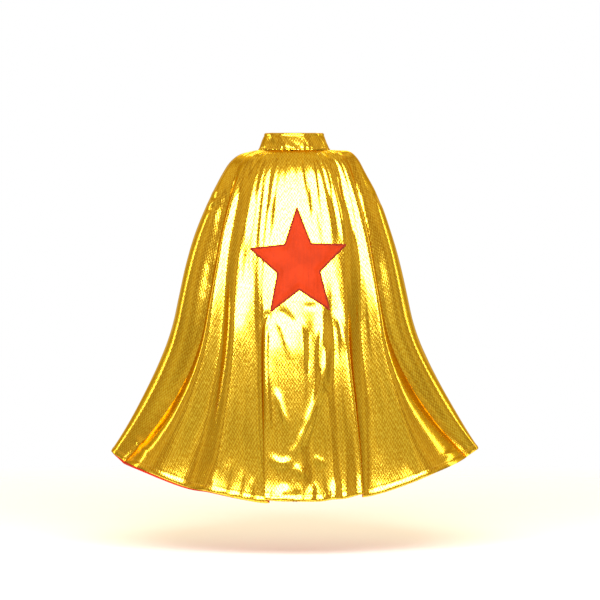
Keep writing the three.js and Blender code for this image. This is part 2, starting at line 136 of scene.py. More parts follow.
@dataclass(frozen=True)
class Solid:
    """A closed shape: vertices in millimetres, blocks of faces of one width each, and UV in metres."""

    vertices: Array
    faces: tuple[Array, ...]
    uv: Array

    @staticmethod
    def joined(parts: Sequence["Solid"]) -> "Solid":
        """Several solids as one, side by side.

        Args:
            parts: the solids.

        Returns:
            One solid with all their vertices and faces.
        """
        starts = np.cumsum([0] + [len(p.vertices) for p in parts])
        faces = tuple(block + start for p, start in zip(parts, starts) for block in p.faces)
        return Solid(np.concatenate([p.vertices for p in parts]), faces, np.concatenate([p.uv for p in parts]))


def grid_quads(rows: int, columns: int, wraps: bool = False) -> Array:
    """The quads of a grid, each going down, right, up and left.

    Args:
        rows: how many rows of points.
        columns: how many columns of points.
        wraps: whether the last column is joined to the first.

    Returns:
        Four indices for each quad.
    """
    r = np.arange(rows - 1)[:, None] * columns
    c = np.arange(columns if wraps else columns - 1)[None, :]
    n = (c + 1) % columns
    return np.stack(np.broadcast_arrays(r + c, r + columns + c, r + columns + n, r + n), -1).reshape(-1, 4)


@dataclass(frozen=True)
class Cloth:
    """A thin cloth as a grid: its outer face, that face's outward directions, UV and thickness.

    Rows go down and columns go to the right as seen from outside. A cloth that wraps is a round one,
    whose rows go out from a point in its middle.
    """

    points: Array
    outward: Array
    uv: Array
    thickness: float
    wraps: bool = False

    def solid(self) -> Solid:
        """The closed shape between the outer face and the face one thickness inside it.

        Returns:
            The solid, with a rim of quads all round its free edge.
        """
        rows, columns = self.points.shape[:2]
        count = rows * columns
        outer = self.points.reshape(-1, 3)
        inner = (self.points - self.outward * self.thickness).reshape(-1, 3)
        quads = grid_quads(rows, columns, self.wraps)
        across, down = np.arange(columns), np.arange(rows)
        if self.wraps:
            rim = (rows - 1) * columns + across[::-1]
        else:
            rim = np.concatenate([
                across[:-1], down[:-1] * columns + columns - 1,
                (rows - 1) * columns + across[:0:-1], down[:0:-1] * columns,
            ])
        after = np.roll(rim, -1)
        edge = np.stack([rim, after, count + after, count + rim], -1)
        faces = [np.concatenate([quads, count + quads[:, ::-1], edge])]
        vertices, uv = np.concatenate([outer, inner]), np.tile(self.uv.reshape(-1, 2), (2, 1))
        if self.wraps:
            middle = [block[:columns].mean(0, keepdims=True) for block in (outer, inner)]
            top = np.full(columns, 2 * count)
            fan = np.stack([top, across, np.roll(across, -1)], -1)
            faces.append(np.concatenate([fan, (fan + [1, count, count])[:, ::-1]]))
            vertices = np.concatenate([vertices, *middle])
            uv = np.concatenate([uv, np.tile(self.uv[0].mean(0), (2, 1))])
        return Solid(vertices, tuple(faces), uv)


def outward_of(points: Array) -> Array:
    """The outward directions of a grid: down it, crossed with to the right along it."""
    return unit(np.cross(np.gradient(points, axis=0), np.gradient(points, axis=1)))


def flat_uv(points: Array) -> Array:
    """A cloth's own coordinates in metres: the walk from its middle column, and from its top row."""
    across, down = lengths_along(points, 1), lengths_along(points, 0)
    return np.stack([across - across[:, [across.shape[1] // 2]], -down], -1) * MM


def thread_runs(
    starts: Array, ends: Array, outward: Array, radius: float, lift: float, rings: int = 5, sides: int = 6
) -> Solid:
    """Short lengths of thread, each an arched tube from its start to its end.

    A run's middle line is the straight line plus lift times the sine of the way along, and its radius
    narrows to a third at both ends, where it goes into the cloth.

    Args:
        starts: where each run starts, in millimetres.
        ends: where each run ends.
        outward: the direction in which each run arches.
        radius: the thread's radius.
        lift: how far the arch rises.
        rings: sections along a run.
        sides: points round a section.

    Returns:
        All runs as one solid.
    """
    t = np.linspace(0, 1, rings)
    arch = np.sin(np.pi * t)
    path = (
        starts[:, None] + (ends - starts)[:, None] * t[None, :, None]
        + outward[:, None] * (lift * arch)[None, :, None]
    )
    along = unit(np.gradient(path, axis=1))
    side = unit(np.cross(along, outward[:, None]))
    up = np.cross(side, along)
    turn = 2 * np.pi * np.arange(sides) / sides
    girth = (radius * (0.34 + 0.66 * np.sqrt(arch.clip(0, 1))))[None, :, None, None]
    cosine, sine = np.cos(turn)[:, None], np.sin(turn)[:, None]
    points = path[:, :, None] + girth * (cosine * side[:, :, None] + sine * up[:, :, None])
    first = (np.arange(len(starts)) * rings * sides)[:, None, None]
    i, j = (np.arange(rings - 1) * sides)[None, :, None], np.arange(sides)[None, None, :]
    k = (j + 1) % sides
    this, after = first + i, first + i + sides
    walls = np.stack(np.broadcast_arrays(this + j, after + j, after + k, this + k), -1)
    cap = np.array([[0, 1, 2, 3], [0, 3, 4, 5]]) if sides == 6 else np.array([[0, 1, 2, 3]])
    near = first + cap[None]
    far = first + (rings - 1) * sides + cap[None, :, ::-1]
    around = lengths_along(path, 1)[:, :, None] * MM + 0 * turn
    uv = np.stack(np.broadcast_arrays(around, radius * MM * turn[None, None, :]), -1)
    faces = np.concatenate([walls.reshape(-1, 4), near.reshape(-1, 4), far.reshape(-1, 4)])
    return Solid(points.reshape(-1, 3), (faces,), uv.reshape(-1, 2))


def stitched(path: Array, outward: Array, pitch: float, length: float, radius: float, lift: float) -> Solid:
    """A row of stitches along a line.

    Args:
        path: the line's points, in millimetres.
        outward: the cloth's outward directions there.
        pitch: from one stitch to the next.
        length: of one stitch.
        radius: of the thread.
        lift: how far each stitch arches off the cloth.

    Returns:
        The row as one solid.
    """
    walked = lengths_along(path, 0)
    count = max(1, int(walked[-1] / pitch))
    begin = (np.arange(count) + 0.5) * walked[-1] / count - length / 2

    def at(values: Array, where: Array) -> Array:
        """The values on the line at the distances walked."""
        return np.stack([np.interp(where, walked, values[:, k]) for k in range(3)], -1)

    middle = unit(at(outward, begin + length / 2))
    return thread_runs(at(path, begin), at(path, begin + length), middle, radius, lift)


def tube(path: Array, radius: float, sides: int = 16) -> Solid:
    """A round cord along a flat path that lies in a plane of constant Y, with rounded ends.

    Each section is a circle square to the path, and the first and last sections shrink to a point as
    the end of a ball does.

    Args:
        path: the middle line's points, in millimetres.
        radius: the cord's radius.
        sides: points round a section.

    Returns:
        The cord as one solid.
    """
    ends = np.linspace(0, np.pi / 2, 5)
    along = unit(np.gradient(path, axis=0))
    near = path[0] - along[0] * (radius * np.cos(ends[:-1]))[:, None] * 0.6
    far = path[-1] + along[-1] * (radius * np.cos(ends[:-1]))[::-1, None] * 0.6
    points = np.concatenate([near, path, far])
    along = np.concatenate([np.tile(along[0], (4, 1)), along, np.tile(along[-1], (4, 1))])
    girth = np.concatenate([np.sin(ends[:-1]), np.ones(len(path)), np.sin(ends[:-1])[::-1]]).clip(0.06) * radius
    side = np.broadcast_to([0.0, 1.0, 0.0], points.shape)
    up = np.cross(side, along)
    turn = 2 * np.pi * np.arange(sides) / sides
    ring = np.cos(turn)[None, :, None] * side[:, None] + np.sin(turn)[None, :, None] * up[:, None]
    grid = points[:, None] + girth[:, None, None] * ring
    walked = np.broadcast_to(lengths_along(points, 0)[:, None], grid.shape[:2])
    uv = np.stack(np.broadcast_arrays(walked, radius * turn[None, :]), -1) * MM
    rows = len(points)
    quads = grid_quads(rows, sides, wraps=True)
    caps = np.stack([np.arange(sides), (rows - 1) * sides + np.arange(sides)[::-1]])
    return Solid(grid.reshape(-1, 3), (quads, caps), uv.reshape(-1, 2))


# ---- Shader maths -----------------------------------------------------------------------------------


class Value:
    """A number that comes out of a node. Its operators add Math nodes."""

    def __init__(self, nodes: "Nodes", socket: bpy.types.NodeSocket | None) -> None:
        """Wraps a socket of a material's nodes."""
        self.nodes = nodes
        self.socket = socket

    def _math(self, operation: str, *others: "Value | float", flipped: bool = False) -> "Value":
        """A Math node of this value and the others, or of the others first if it is flipped."""
        terms = [*others, self] if flipped else [self, *others]
        return self.nodes.make("ShaderNodeMath", {"operation": operation}, dict(enumerate(terms)))

    def __add__(self, other: "Value | float") -> "Value":
        """This plus the other."""
        return self._math("ADD", other)

    __radd__ = __add__

    def __sub__(self, other: "Value | float") -> "Value":
        """This minus the other."""
        return self._math("SUBTRACT", other)

    def __rsub__(self, other: float) -> "Value":
        """The other minus this."""
        return self._math("SUBTRACT", other, flipped=True)

    def __mul__(self, other: "Value | float") -> "Value":
        """This times the other."""
        return self._math("MULTIPLY", other)

    __rmul__ = __mul__

    def sine(self) -> "Value":
        """The sine of this, in radians."""
        return self._math("SINE")

    def size(self) -> "Value":
        """This without its sign."""
        return self._math("ABSOLUTE")

    def held(self) -> "Value":
        """This, kept from 0 to 1."""
        node = self._math("ADD", 0.0)
        node.socket.node.use_clamp = True
        return node


class Nodes:
    """The nodes of one material or world."""

    def __init__(self, owner: bpy.types.Material | bpy.types.World) -> None:
        """Starts with an empty node tree."""
        owner.use_nodes = True
        self.tree = owner.node_tree
        self.tree.nodes.clear()

    def make(
        self,
        kind: str,
        settings: Mapping[str, object] | None = None,
        sockets: Mapping[str | int, object] | None = None,
        output: str | int = 0,
    ) -> Value:
        """Adds a node.

        Args:
            kind: the node's type.
            settings: its own settings, set first. "stops" holds a ramp's (position, colour) pairs.
            sockets: the number, colour or Value for each input, by name or place.
            output: which output to give back.

        Returns:
            That output as a Value, or a Value of nothing for a node that has none.
        """
        node = self.tree.nodes.new(kind)
        for name, setting in (settings or {}).items():
            if name == "stops":
                ramp = node.color_ramp.elements
                while len(ramp) > 1:
                    ramp.remove(ramp[-1])
                for place, (position, colour) in enumerate(setting):
                    stop = ramp[0] if place == 0 else ramp.new(position)
                    stop.position, stop.color = position, colour
            else:
                setattr(node, name, setting)
        for name, value in (sockets or {}).items():
            if isinstance(value, Value):
                self.tree.links.new(value.socket, node.inputs[name])
            else:
                node.inputs[name].default_value = value
        return Value(self, node.outputs[output] if len(node.outputs) else None)

    def colour_mix(self, share: Value | float, a: object, b: object, how: str = "MIX") -> Value:
        """A Mix node of two colours.

        Args:
            share: how much of the second.
            a: the first colour or Value.
            b: the second colour or Value.
            how: the blend type.

        Returns:
            The mixed colour.
        """
        return self.make(
            "ShaderNodeMix", {"data_type": "RGBA", "blend_type": how}, {0: share, 6: a, 7: b}, output=2
        )

    def noise(self, where: Value, scale: float, detail: float = 2.0, roughness: float = 0.5) -> Value:
        """Noise at a place, at a scale in cells to a metre."""
        return self.make(
            "ShaderNodeTexNoise", {"noise_dimensions": "3D"},
            {"Vector": where, "Scale": scale, "Detail": detail, "Roughness": roughness},
        )

    def uv(self) -> tuple[Value, Value, Value]:
        """The cloth's own coordinates, as a vector and as its two numbers."""
        where = self.make("ShaderNodeUVMap", {"uv_map": "UVMap"})
        across = self.make("ShaderNodeSeparateXYZ", None, {0: where}, output=0)
        along = Value(self, across.socket.node.outputs[1])
        return where, across, along

    def stretched(self, where: Value, across: float, along: float, turn_deg: float = 0.0) -> Value:
        """A vector turned and scaled, in cells to a metre each way."""
        return self.make(
            "ShaderNodeMapping", None,
            {"Vector": where, "Rotation": (0, 0, math.radians(turn_deg)), "Scale": (across, along, 1.0)},
        )

    def patches(self, where: Value, size: tuple[float, float], detail: float, roughness: float = 0.5) -> Value:
        """Noise in patches of one size.

        Args:
            where: the place.
            size: a patch's width and height, in metres.
            detail: how many finer layers the noise has.
            roughness: how strong they are.

        Returns:
            The noise, about 0 to 1.
        """
        return self.noise(self.stretched(where, 1 / size[0], 1 / size[1]), 1.0, detail, roughness)

    def bump(self, height: Value, distance: float, strength: float, below: Value | None = None) -> Value:
        """A Bump node.

        Args:
            height: the height, about 0 to 1.
            distance: what a height of 1 is, in metres.
            strength: how much of it shows.
            below: the normal that it starts from.

        Returns:
            The bumped normal.
        """
        sockets: dict[str | int, object] = {"Height": height, "Distance": distance, "Strength": strength}
        if below is not None:
            sockets["Normal"] = below
        return self.make("ShaderNodeBump", None, sockets)

    def finish(self, **sockets: object) -> None:
        """The Principled shader, with its sockets by name (underscores for spaces), and the output."""
        named = {name.replace("_", " "): value for name, value in sockets.items()}
        shader = self.make("ShaderNodeBsdfPrincipled", None, named)
        self.make("ShaderNodeOutputMaterial", None, {"Surface": shader})


def rgba(red: float, green: float, blue: float) -> tuple[float, float, float, float]:
    """An opaque linear colour."""
    return (red, green, blue, 1.0)


@dataclass(frozen=True)
class Finish:
    """A finish: its name and colour, and the method that dresses a material's nodes with it."""

    name: str
    colour: tuple[float, float, float, float]

    def dress(self, nodes: Nodes) -> None:
        """Adds the finish's nodes."""
        raise NotImplementedError

    def material(self) -> bpy.types.Material:
        """The finish's material, made the first time it is asked for."""
        sewn = f"sewn_{self.name}"
        found = bpy.data.materials.get(sewn)
        if found is None:
            found = bpy.data.materials.new(sewn)
            self.dress(Nodes(found))
        return found


@dataclass(frozen=True)
class GoldLame(Finish):
    """Foil-printed knit: staggered little dimples, foil facets that differ a bit, a faint crinkle, and painted
    glints and painted shade as pale and deep dots over the dimples and facets.
    """

    # the deep colour is both the darker tone of the worn patches and the painted shade of the dark dots
    deep_tone_and_dot_shade: tuple[float, float, float, float] = rgba(0.68, 0.39, 0.012)
    # the pale colour is the painted glint on the bright dots
    pale: tuple[float, float, float, float] = rgba(0.98, 0.80, 0.11)
    edge: tuple[float, float, float, float] = rgba(1.0, 0.72, 0.16)
    dimple_width: float = 0.0058
    dimple_height: float = 0.0090
    dimple_depth: float = 0.00008
    facet: tuple[float, float] = (0.0030, 0.0060)
    crinkle: tuple[float, float] = (0.012, 0.040)
    crinkle_depth: float = 0.0004
    wear: tuple[float, float] = (0.05, 0.09)
    roughness: float = 0.10

    def dress(self, nodes: Nodes) -> None:
        """Adds the foil's nodes."""
        where, across, along = nodes.uv()
        drift = nodes.noise(where, 90.0, 1.0) * 1.6
        sideways = across * (2 * math.pi / self.dimple_width) + drift
        upwards = along * (2 * math.pi / self.dimple_height) + drift
        dimples = sideways.sine() * upwards.sine() * 0.5 + 0.5
        facets = nodes.patches(where, self.facet, 1.0)
        crinkle = nodes.patches(where, self.crinkle, 3.0, 0.55)
        worn = nodes.patches(where, self.wear, 3.0, 0.6)
        # painted glints and painted shade: the dimples and facets mixed into the colour as pale and deep dots,
        # standing in for the glints that they catch
        painted_glint_dots = ((dimples - 0.5) * 1.2 + (facets - 0.5) * 2.6 + 0.42).held()
        body = nodes.colour_mix((worn * 1.8 - 0.4).held(), self.deep_tone_and_dot_shade, self.colour)
        painted_dot_colour = nodes.colour_mix(painted_glint_dots, self.deep_tone_and_dot_shade, self.pale)
        colour = nodes.colour_mix(0.65, body, painted_dot_colour)
        relief = nodes.bump(crinkle, self.crinkle_depth, 0.6)
        relief = nodes.bump(dimples + facets * 0.25, self.dimple_depth, 1.0, relief)
        nodes.finish(
            Base_Color=colour, Metallic=1.0, Normal=relief,
            Roughness=(worn * 0.10 + self.roughness - 0.04 + painted_glint_dots * 0.05).held(),
            Specular_Tint=self.edge, Coat_Weight=0.2, Coat_Roughness=0.06,
        )


@dataclass(frozen=True)
class Woven(Finish):
    """A woven cloth: threads over and under each other, with thick and thin places, and painted shade in soft
    cloud patches that stand in for the shading of slack folds.
    """

    thread: float = 0.0007
    depth: float = 0.00012
    roughness: float = 0.5
    sheen: float = 0.25
    satin: bool = False
    shade: float = 0.75
    gloss: float = 0.5
    slub: tuple[float, float] = (0.004, 0.05)
    slub_depth: float = 0.0004

    def dress(self, nodes: Nodes) -> None:
        """Adds the weave's nodes."""
        where, across, along = nodes.uv()
        turn = 2 * math.pi / self.thread
        if self.satin:
            weave = (across * turn + along * (turn * 0.35)).sine() * 0.5 + 0.5
        else:
            weave = ((across * turn).sine() * (along * turn).sine()) * 0.5 + 0.5
        slubs = nodes.patches(where, self.slub, 3.0)
        cloud = nodes.noise(where, 22.0, 3.0)
        dark = rgba(*(c * self.shade for c in self.colour[:3]))
        # painted shade: the colour darkens towards the shade colour in cloud patches, standing in for the
        # shading of slack folds, and with the thick and thin places, which are the yarn's own tone
        colour = nodes.colour_mix((cloud * 1.8 + slubs * 0.7 - 0.75).held(), dark, self.colour)
        colour = nodes.colour_mix((weave * 0.25).held(), colour, dark)
        relief = nodes.bump(slubs + cloud * 2.0, self.slub_depth, 0.4)
        relief = nodes.bump(weave, self.depth, 0.6, relief)
        nodes.finish(
            Base_Color=colour, Roughness=(slubs * 0.16 + self.roughness - 0.08).held(), Normal=relief,
            Sheen_Weight=self.sheen, Sheen_Roughness=0.4, Specular_IOR_Level=self.gloss,
        )


@dataclass(frozen=True)
class Thread(Finish):
    """Twisted thread: slanting plies and a soft sheen."""

    ply: float = 0.0006
    roughness: float = 0.42

    def dress(self, nodes: Nodes) -> None:
        """Adds the plies' nodes."""
        where, across, along = nodes.uv()
        turn = 2 * math.pi / self.ply
        plies = (across * turn + along * turn).sine() * 0.5 + 0.5
        fuzz = nodes.noise(where, 1600.0, 2.0)
        dark = rgba(*(c * 0.55 for c in self.colour[:3]))
        colour = nodes.colour_mix((plies * 0.7 + fuzz * 0.4).held(), dark, self.colour)
        nodes.finish(
            Base_Color=colour, Roughness=(fuzz * 0.2 + self.roughness).held(),
            Normal=nodes.bump(plies + fuzz, 0.00015, 0.6), Sheen_Weight=0.04, Specular_IOR_Level=0.2,
        )


@dataclass(frozen=True)
class Matted(Finish):
    """Fibres pressed or brushed together: interlining, and both halves of a touch fastener."""

    fibre: float = 0.0009
    depth: float = 0.0003
    roughness: float = 0.85

    def dress(self, nodes: Nodes) -> None:
        """Adds the fibres' nodes."""
        where, _, _ = nodes.uv()
        strands = nodes.noise(nodes.stretched(where, 1 / self.fibre, 0.35 / self.fibre, 30), 1.0, 4.0, 0.7)
        others = nodes.noise(nodes.stretched(where, 0.3 / self.fibre, 1 / self.fibre, 20), 1.0, 4.0, 0.7)
        felt = (strands + others) * 0.5
        dark = rgba(*(c * 0.6 for c in self.colour[:3]))
        colour = nodes.colour_mix((felt * 2.2 - 0.6).held(), dark, self.colour)
        nodes.finish(
            Base_Color=colour, Roughness=(felt * 0.2 + self.roughness - 0.1).held(),
            Normal=nodes.bump(felt, self.depth, 0.7), Sheen_Weight=0.3,
        )


class Finishes(Enum):
    """Every finish of the cape, each with the name of the record's material slot that goes with it."""

    GOLD = (GoldLame("gold_lame", rgba(0.93, 0.60, 0.038)), "gold_lame")
    LINING = (
        Woven("red_lining", rgba(0.56, 0.024, 0.009), roughness=0.45, sheen=0.0, gloss=0.08), "red_lining")
    STAR = (
        Woven("star_satin", rgba(0.55, 0.044, 0.009), thread=0.0009, roughness=0.45, sheen=0.0, satin=True,
              shade=0.6, gloss=0.04),
        "star_satin")
    BORDER = (Thread("border_thread", rgba(0.34, 0.022, 0.008)), "border_thread")
    GOLD_THREAD = (Thread("gold_thread", rgba(0.62, 0.38, 0.05)), "gold_thread")
    RED_THREAD = (Thread("red_thread", rgba(0.42, 0.03, 0.015)), "red_thread")
    TAPE = (
        Woven("red_tape", rgba(0.40, 0.026, 0.014), thread=0.0011, depth=0.0002, roughness=0.6, satin=True),
        "red_tape")
    INTERLINING = (Matted("interlining", rgba(0.82, 0.81, 0.77)), "interlining")
    LABEL = (
        Woven("label_cloth", rgba(0.86, 0.85, 0.81), thread=0.0005, roughness=0.4, satin=True, shade=0.93),
        "label_cloth")
    HOOKS = (Matted("hook_tape", rgba(0.018, 0.018, 0.020), roughness=0.5), "hook_tape")
    LOOPS = (
        Matted("loop_tape", rgba(0.024, 0.023, 0.026), fibre=0.0005, depth=0.0006, roughness=0.95), "loop_tape")

    @property
    def finish(self) -> Finish:
        """The finish itself."""
        return self.value[0]

    @property
    def slot(self) -> str:
        """The record's slot."""
        return self.value[1]


# ---- The cape's surface -------------------------------------------------------------------------------


@dataclass(frozen=True)
class Fall:
    """How cloth falls from the neck seam to the hem: (distance in mm, slope from the vertical in degrees)."""

    knots: tuple[tuple[float, float], ...]
    steps: int = 240

    @property
    def length(self) -> float:
        """The distance from the neck seam to the hem."""
        return self.knots[-1][0]

    def gone(self, share: Array, across: bool) -> Array:
        """How far the cloth has gone at a share of its length.

        The slope is the straight line between the knots, and the distance gone is the running sum of
        its sine or cosine. Past the hem it goes on with the last slope.

        Args:
            share: the share of the way to the hem.
            across: outwards if true, downwards if not.

        Returns:
            The distances, in millimetres.
        """
        step = self.length / self.steps
        middles = (np.arange(self.steps) + 0.5) * step
        at, slope = np.array(self.knots).T
        angle = np.radians(np.interp(middles, at, slope))
        total = np.concatenate([[0.0], np.cumsum(step * (np.sin(angle) if across else np.cos(angle)))])
        place = share * self.steps
        i = np.clip(np.floor(place).astype(int), 0, self.steps - 1)
        return mix(total[i], total[i + 1], place - i)


@dataclass(frozen=True)
class FoldLine:
    """A line that the folds follow: its angles from the middle of the back, and how far it stands out."""

    neck: float
    mid: float
    hem: float
    out_mid: float
    out_hem: float

    def mirrored(self) -> "FoldLine":
        """The same line on the other side."""
        return FoldLine(-self.neck, -self.mid, -self.hem, self.out_mid, self.out_hem)


@dataclass(frozen=True)
class Crease:
    """A small ridge or valley across the back, on a curve through three points (x, z) in millimetres."""

    start: tuple[float, float]
    bend: tuple[float, float]
    end: tuple[float, float]
    height: float
    width: float

    def relief(self, x: Array, z: Array) -> Array:
        """Its height at points of the back.

        The curve is the parabola that starts and ends at the end points and bends towards the middle
        one. The height falls off as a bell across it, and smoothly to nothing at both ends.

        Args:
            x: across the back.
            z: up.

        Returns:
            The height there, in millimetres.
        """
        t = np.linspace(0, 1, 15)[:, None]
        start, bend, end = (np.array(spot) for spot in (self.start, self.bend, self.end))
        curve = (1 - t) ** 2 * start + 2 * t * (1 - t) * bend + t**2 * end
        margin = 3 * self.width
        near = (
            (x > curve[:, 0].min() - margin) & (x < curve[:, 0].max() + margin)
            & (z > curve[:, 1].min() - margin) & (z < curve[:, 1].max() + margin)
        )
        spots = np.stack([x[near], z[near]], -1)[:, None]
        a, ab = curve[None, :-1], np.diff(curve, axis=0)[None]
        part = np.clip(((spots - a) * ab).sum(-1) / (ab**2).sum(-1), 0, 1)
        gap = np.linalg.norm(spots - a - part[..., None] * ab, axis=-1)
        closest = gap.argmin(1)
        rows = np.arange(len(closest))
        along = (closest + part[rows, closest]) / (len(curve) - 1)
        ends = smoothstep(along, 0.0, 0.3) * (1 - smoothstep(along, 0.6, 1.0))
        result = np.zeros_like(x)
        result[near] = self.height * bell(gap[rows, closest], self.width) * ends
        return result


@dataclass
class CapeForm:
    """The cape's shape: an ellipse at each height, wider and lower as the falls say, with folds on it."""

    neck_half_width: float = 71.0
    neck_half_depth: float = 59.0
    star_x: float = 9.0
    star_z: float = -225.0
    star_radius: float = 111.0
    star_stiffness: float = 0.85
    mid_share: float = 0.45
    left: Fall = Fall((
        (0, 80), (28, 77), (50, 50), (76, 31), (150, 25), (260, 17), (380, 11), (470, 21), (580, 27),
        (692, 33)))
    right: Fall = Fall((
        (0, 88), (30, 86), (48, 50), (75, 28), (150, 24), (260, 15), (380, 12), (470, 24), (580, 29),
        (692, 33)))
    back: Fall = Fall((
        (0, 64), (15, 56), (30, 38), (46, 23), (65, 17), (140, 14), (300, 13.5), (400, 11), (500, 8), (590, 6),
        (670, 11), (716, 17)))
    front: Fall = Fall(((0, 60), (40, 50), (80, 30), (200, 16), (400, 12), (600, 16), (650, 18)))
    front_lines: tuple[FoldLine, ...] = (
        FoldLine(173, 146, 122, 0, 0), FoldLine(150, 128, 112, 7, 12), FoldLine(126, 108, 102, -7, -10),
        FoldLine(102, 88, 92, 0, 0), FoldLine(83, 68, 83, 4, 4),
    )
    back_lines: tuple[FoldLine, ...] = (
        FoldLine(-68, -52, -72, -17, -12), FoldLine(-56, -45, -54, 6, 9), FoldLine(-47, -38, -36, -6, -8),
        FoldLine(-38, -31, -26, 6, 8), FoldLine(-30, -24, -15, -2, -9), FoldLine(-24, -18, -8.2, -1, -14),
        FoldLine(-18, -14, -9, 4, 14), FoldLine(-11, -8, -4, 2, 8), FoldLine(-3, 0, 2, 2, 9),
        FoldLine(6, 8, 8, 0, 3), FoldLine(14, 14, 12, 3, 8), FoldLine(22, 20, 16, 1, 5),
        FoldLine(30, 27, 21, 6, 18), FoldLine(36, 31, 22.5, -4, -16), FoldLine(43, 37, 30, -11, -18),
        FoldLine(50, 42, 40, -2, -2), FoldLine(57, 47, 51, 7, 9), FoldLine(68, 55, 75, -17, -12),
    )
    creases: tuple[Crease, ...] = (
        # from the star's lower left tip
        Crease((-49, -312), (-66, -400), (-44, -585), 3.4, 6),
        Crease((-48, -314), (-60, -328), (-68, -362), -2.0, 4),
        Crease((-44, -318), (-52, -334), (-52, -360), -1.4, 3.5),
        Crease((-32, -312), (-10, -322), (8, -350), -1.3, 6),
        Crease((-40, -325), (-14, -350), (-10, -420), 1.6, 6),
        Crease((18, -305), (32, -309), (48, -304), -0.9, 3.5),
        # from its lower right tip
        Crease((76, -320), (86, -370), (84, -430), -1.2, 6),
        Crease((82, -318), (96, -350), (100, -400), 1.5, 5),
        Crease((60, -335), (48, -380), (44, -470), 1.5, 6), Crease((8, -325), (20, -370), (18, -440), 1.4, 6),
        Crease((30, -330), (34, -380), (26, -460), -1.4, 5),
        # the swag that hangs between them
        Crease((73, -345), (48, -535), (-14, -604), 4.4, 9),
        Crease((4, -596), (-30, -632), (-50, -585), 2.0, 9),
        Crease((-36, -462), (-26, -510), (-8, -552), 2.6, 6),
        Crease((20, -520), (8, -570), (-10, -590), -1.8, 7),
        Crease((-6, -612), (12, -632), (34, -634), 1.5, 9), Crease((34, -600), (52, -604), (64, -618), 1.1, 7),
        # buckles above the hem
        Crease((-178, -676), (-172, -640), (-158, -610), 1.5, 7),
        Crease((-140, -684), (-134, -640), (-122, -596), 1.7, 8),
        Crease((-112, -688), (-104, -655), (-100, -615), 1.5, 7),
        Crease((-88, -688), (-84, -662), (-80, -632), 1.3, 6),
        Crease((-30, -690), (-24, -668), (-12, -650), 1.5, 8),
        Crease((30, -692), (38, -668), (36, -645), 1.4, 7),
        Crease((72, -690), (80, -664), (84, -640), 1.5, 7), Crease((0, -690), (4, -674), (8, -660), -1.6, 6),
        # crushed cloth above the side seams
        Crease((-176, -92), (-160, -84), (-146, -78), 1.5, 2.6),
        Crease((-172, -102), (-158, -95), (-142, -88), -1.5, 2.6),
        Crease((-178, -112), (-160, -104), (-146, -96), 1.5, 2.6),
        Crease((-176, -124), (-160, -112), (-142, -106), -1.4, 3),
        Crease((150, -84), (162, -100), (172, -122), 1.3, 3),
        Crease((156, -80), (168, -96), (178, -116), -1.3, 3),
        Crease((330, -590), (310, -604), (288, -600), 2.2, 6),
        Crease((-318, -566), (-300, -590), (-280, -598), 2.0, 7),
    )
    lines: tuple[FoldLine, ...] = field(init=False)

    def __post_init__(self) -> None:
        """Puts the lines in order from the left front edge to the right one."""
        mirrored = tuple(line.mirrored() for line in self.front_lines)
        self.lines = mirrored + self.back_lines + self.front_lines[::-1]

    @property
    def left_seam(self) -> int:
        """The left side seam's place."""
        return len(self.front_lines)

    @property
    def right_seam(self) -> int:
        """The right side seam's place."""
        return self.left_seam + len(self.back_lines) - 1

    @property
    def last(self) -> int:
        """The right front edge's place."""
        return len(self.lines) - 1

    def bare(self, angle: Array, share: Array) -> Array:
        """The cape without folds.

        Args:
            angle: from the middle of the back, in radians.
            share: the share of the way down.

        Returns:
            Points on the ellipse at that height, whose half axes are the neck's plus how far the
            cloth has gone out there.
        """
        side, rear = (1 + np.sin(angle)) / 2, (1 + np.cos(angle)) / 2
        width = self.neck_half_width + mix(self.left.gone(share, True), self.right.gone(share, True), side)
        depth = self.neck_half_depth + mix(self.front.gone(share, True), self.back.gone(share, True), rear)
        sideways = mix(self.left.gone(share, False), self.right.gone(share, False), side)
        behind = np.where(np.cos(angle) > 0, self.back.gone(share, False), self.front.gone(share, False))
        down = mix(sideways, behind, np.cos(angle) ** 2)
        return np.stack(np.broadcast_arrays(width * np.sin(angle), -depth * np.cos(angle), -down), -1)

    @staticmethod
    def outwards(surface: Callable[[Array, Array], Array], a: Array, b: Array, step: float) -> Array:
        """The direction out of a surface, from its slopes round the cape and down it."""
        around = surface(a + step, b) - surface(a - step, b)
        along = surface(a, b + NUDGE) - surface(a, np.maximum(0, b - NUDGE))
        return unit(np.cross(along, around))

    def through(self, neck: Array, mid: Array, hem: Array, share: Array) -> Array:
        """The parabola through a value at the neck, at mid-height and at the hem."""
        bend = ((mid - neck) / self.mid_share - (hem - neck)) / (self.mid_share - 1)
        return neck + share * (hem - neck + bend * (share - 1))

    def between(self, key: str, place: Array) -> Array:
        """A smooth value between the lines, on the cubic through each line's own value."""
        values = np.array([getattr(line, key) for line in self.lines], float)
        i = np.clip(np.floor(place).astype(int), 0, self.last - 1)
        f = place - i
        a, b, c, d = (values[np.clip(i + k, 0, self.last)] for k in (-1, 0, 1, 2))
        start, end, rise = (c - a) / 2, (d - b) / 2, c - b
        return b + f * start + f * f * (3 * rise - 2 * start - end) + f**3 * (start + end - 2 * rise)

    def folded(self, place: Array, share: Array) -> Array:
        """The cape with its folds, at a place counted in lines from the left front edge.

        Args:
            place: how many fold lines from the left front edge.
            share: the share of the way down.

        Returns:
            The bare cape's points, moved out along its own direction by the folds' depth, which the
            stiff star takes away under itself.
        """
        place, share = np.broadcast_arrays(np.asarray(place, float), np.asarray(share, float))
        angle = np.radians(self.through(*(self.between(k, place) for k in ("neck", "mid", "hem")), share))
        out = self.through(0.0, self.between("out_mid", place), self.between("out_hem", place), share)
        point = self.bare(angle, share)
        reach = np.hypot(point[..., 0] - self.star_x, point[..., 2] - self.star_z) / self.star_radius
        flat = self.star_stiffness * (1 - smoothstep(reach, 0.7, 1.6))
        lively = np.where(point[..., 1] > 0, 1.0, 1 - flat)
        return point + self.outwards(self.bare, angle, share, NUDGE) * (out * lively)[..., None]

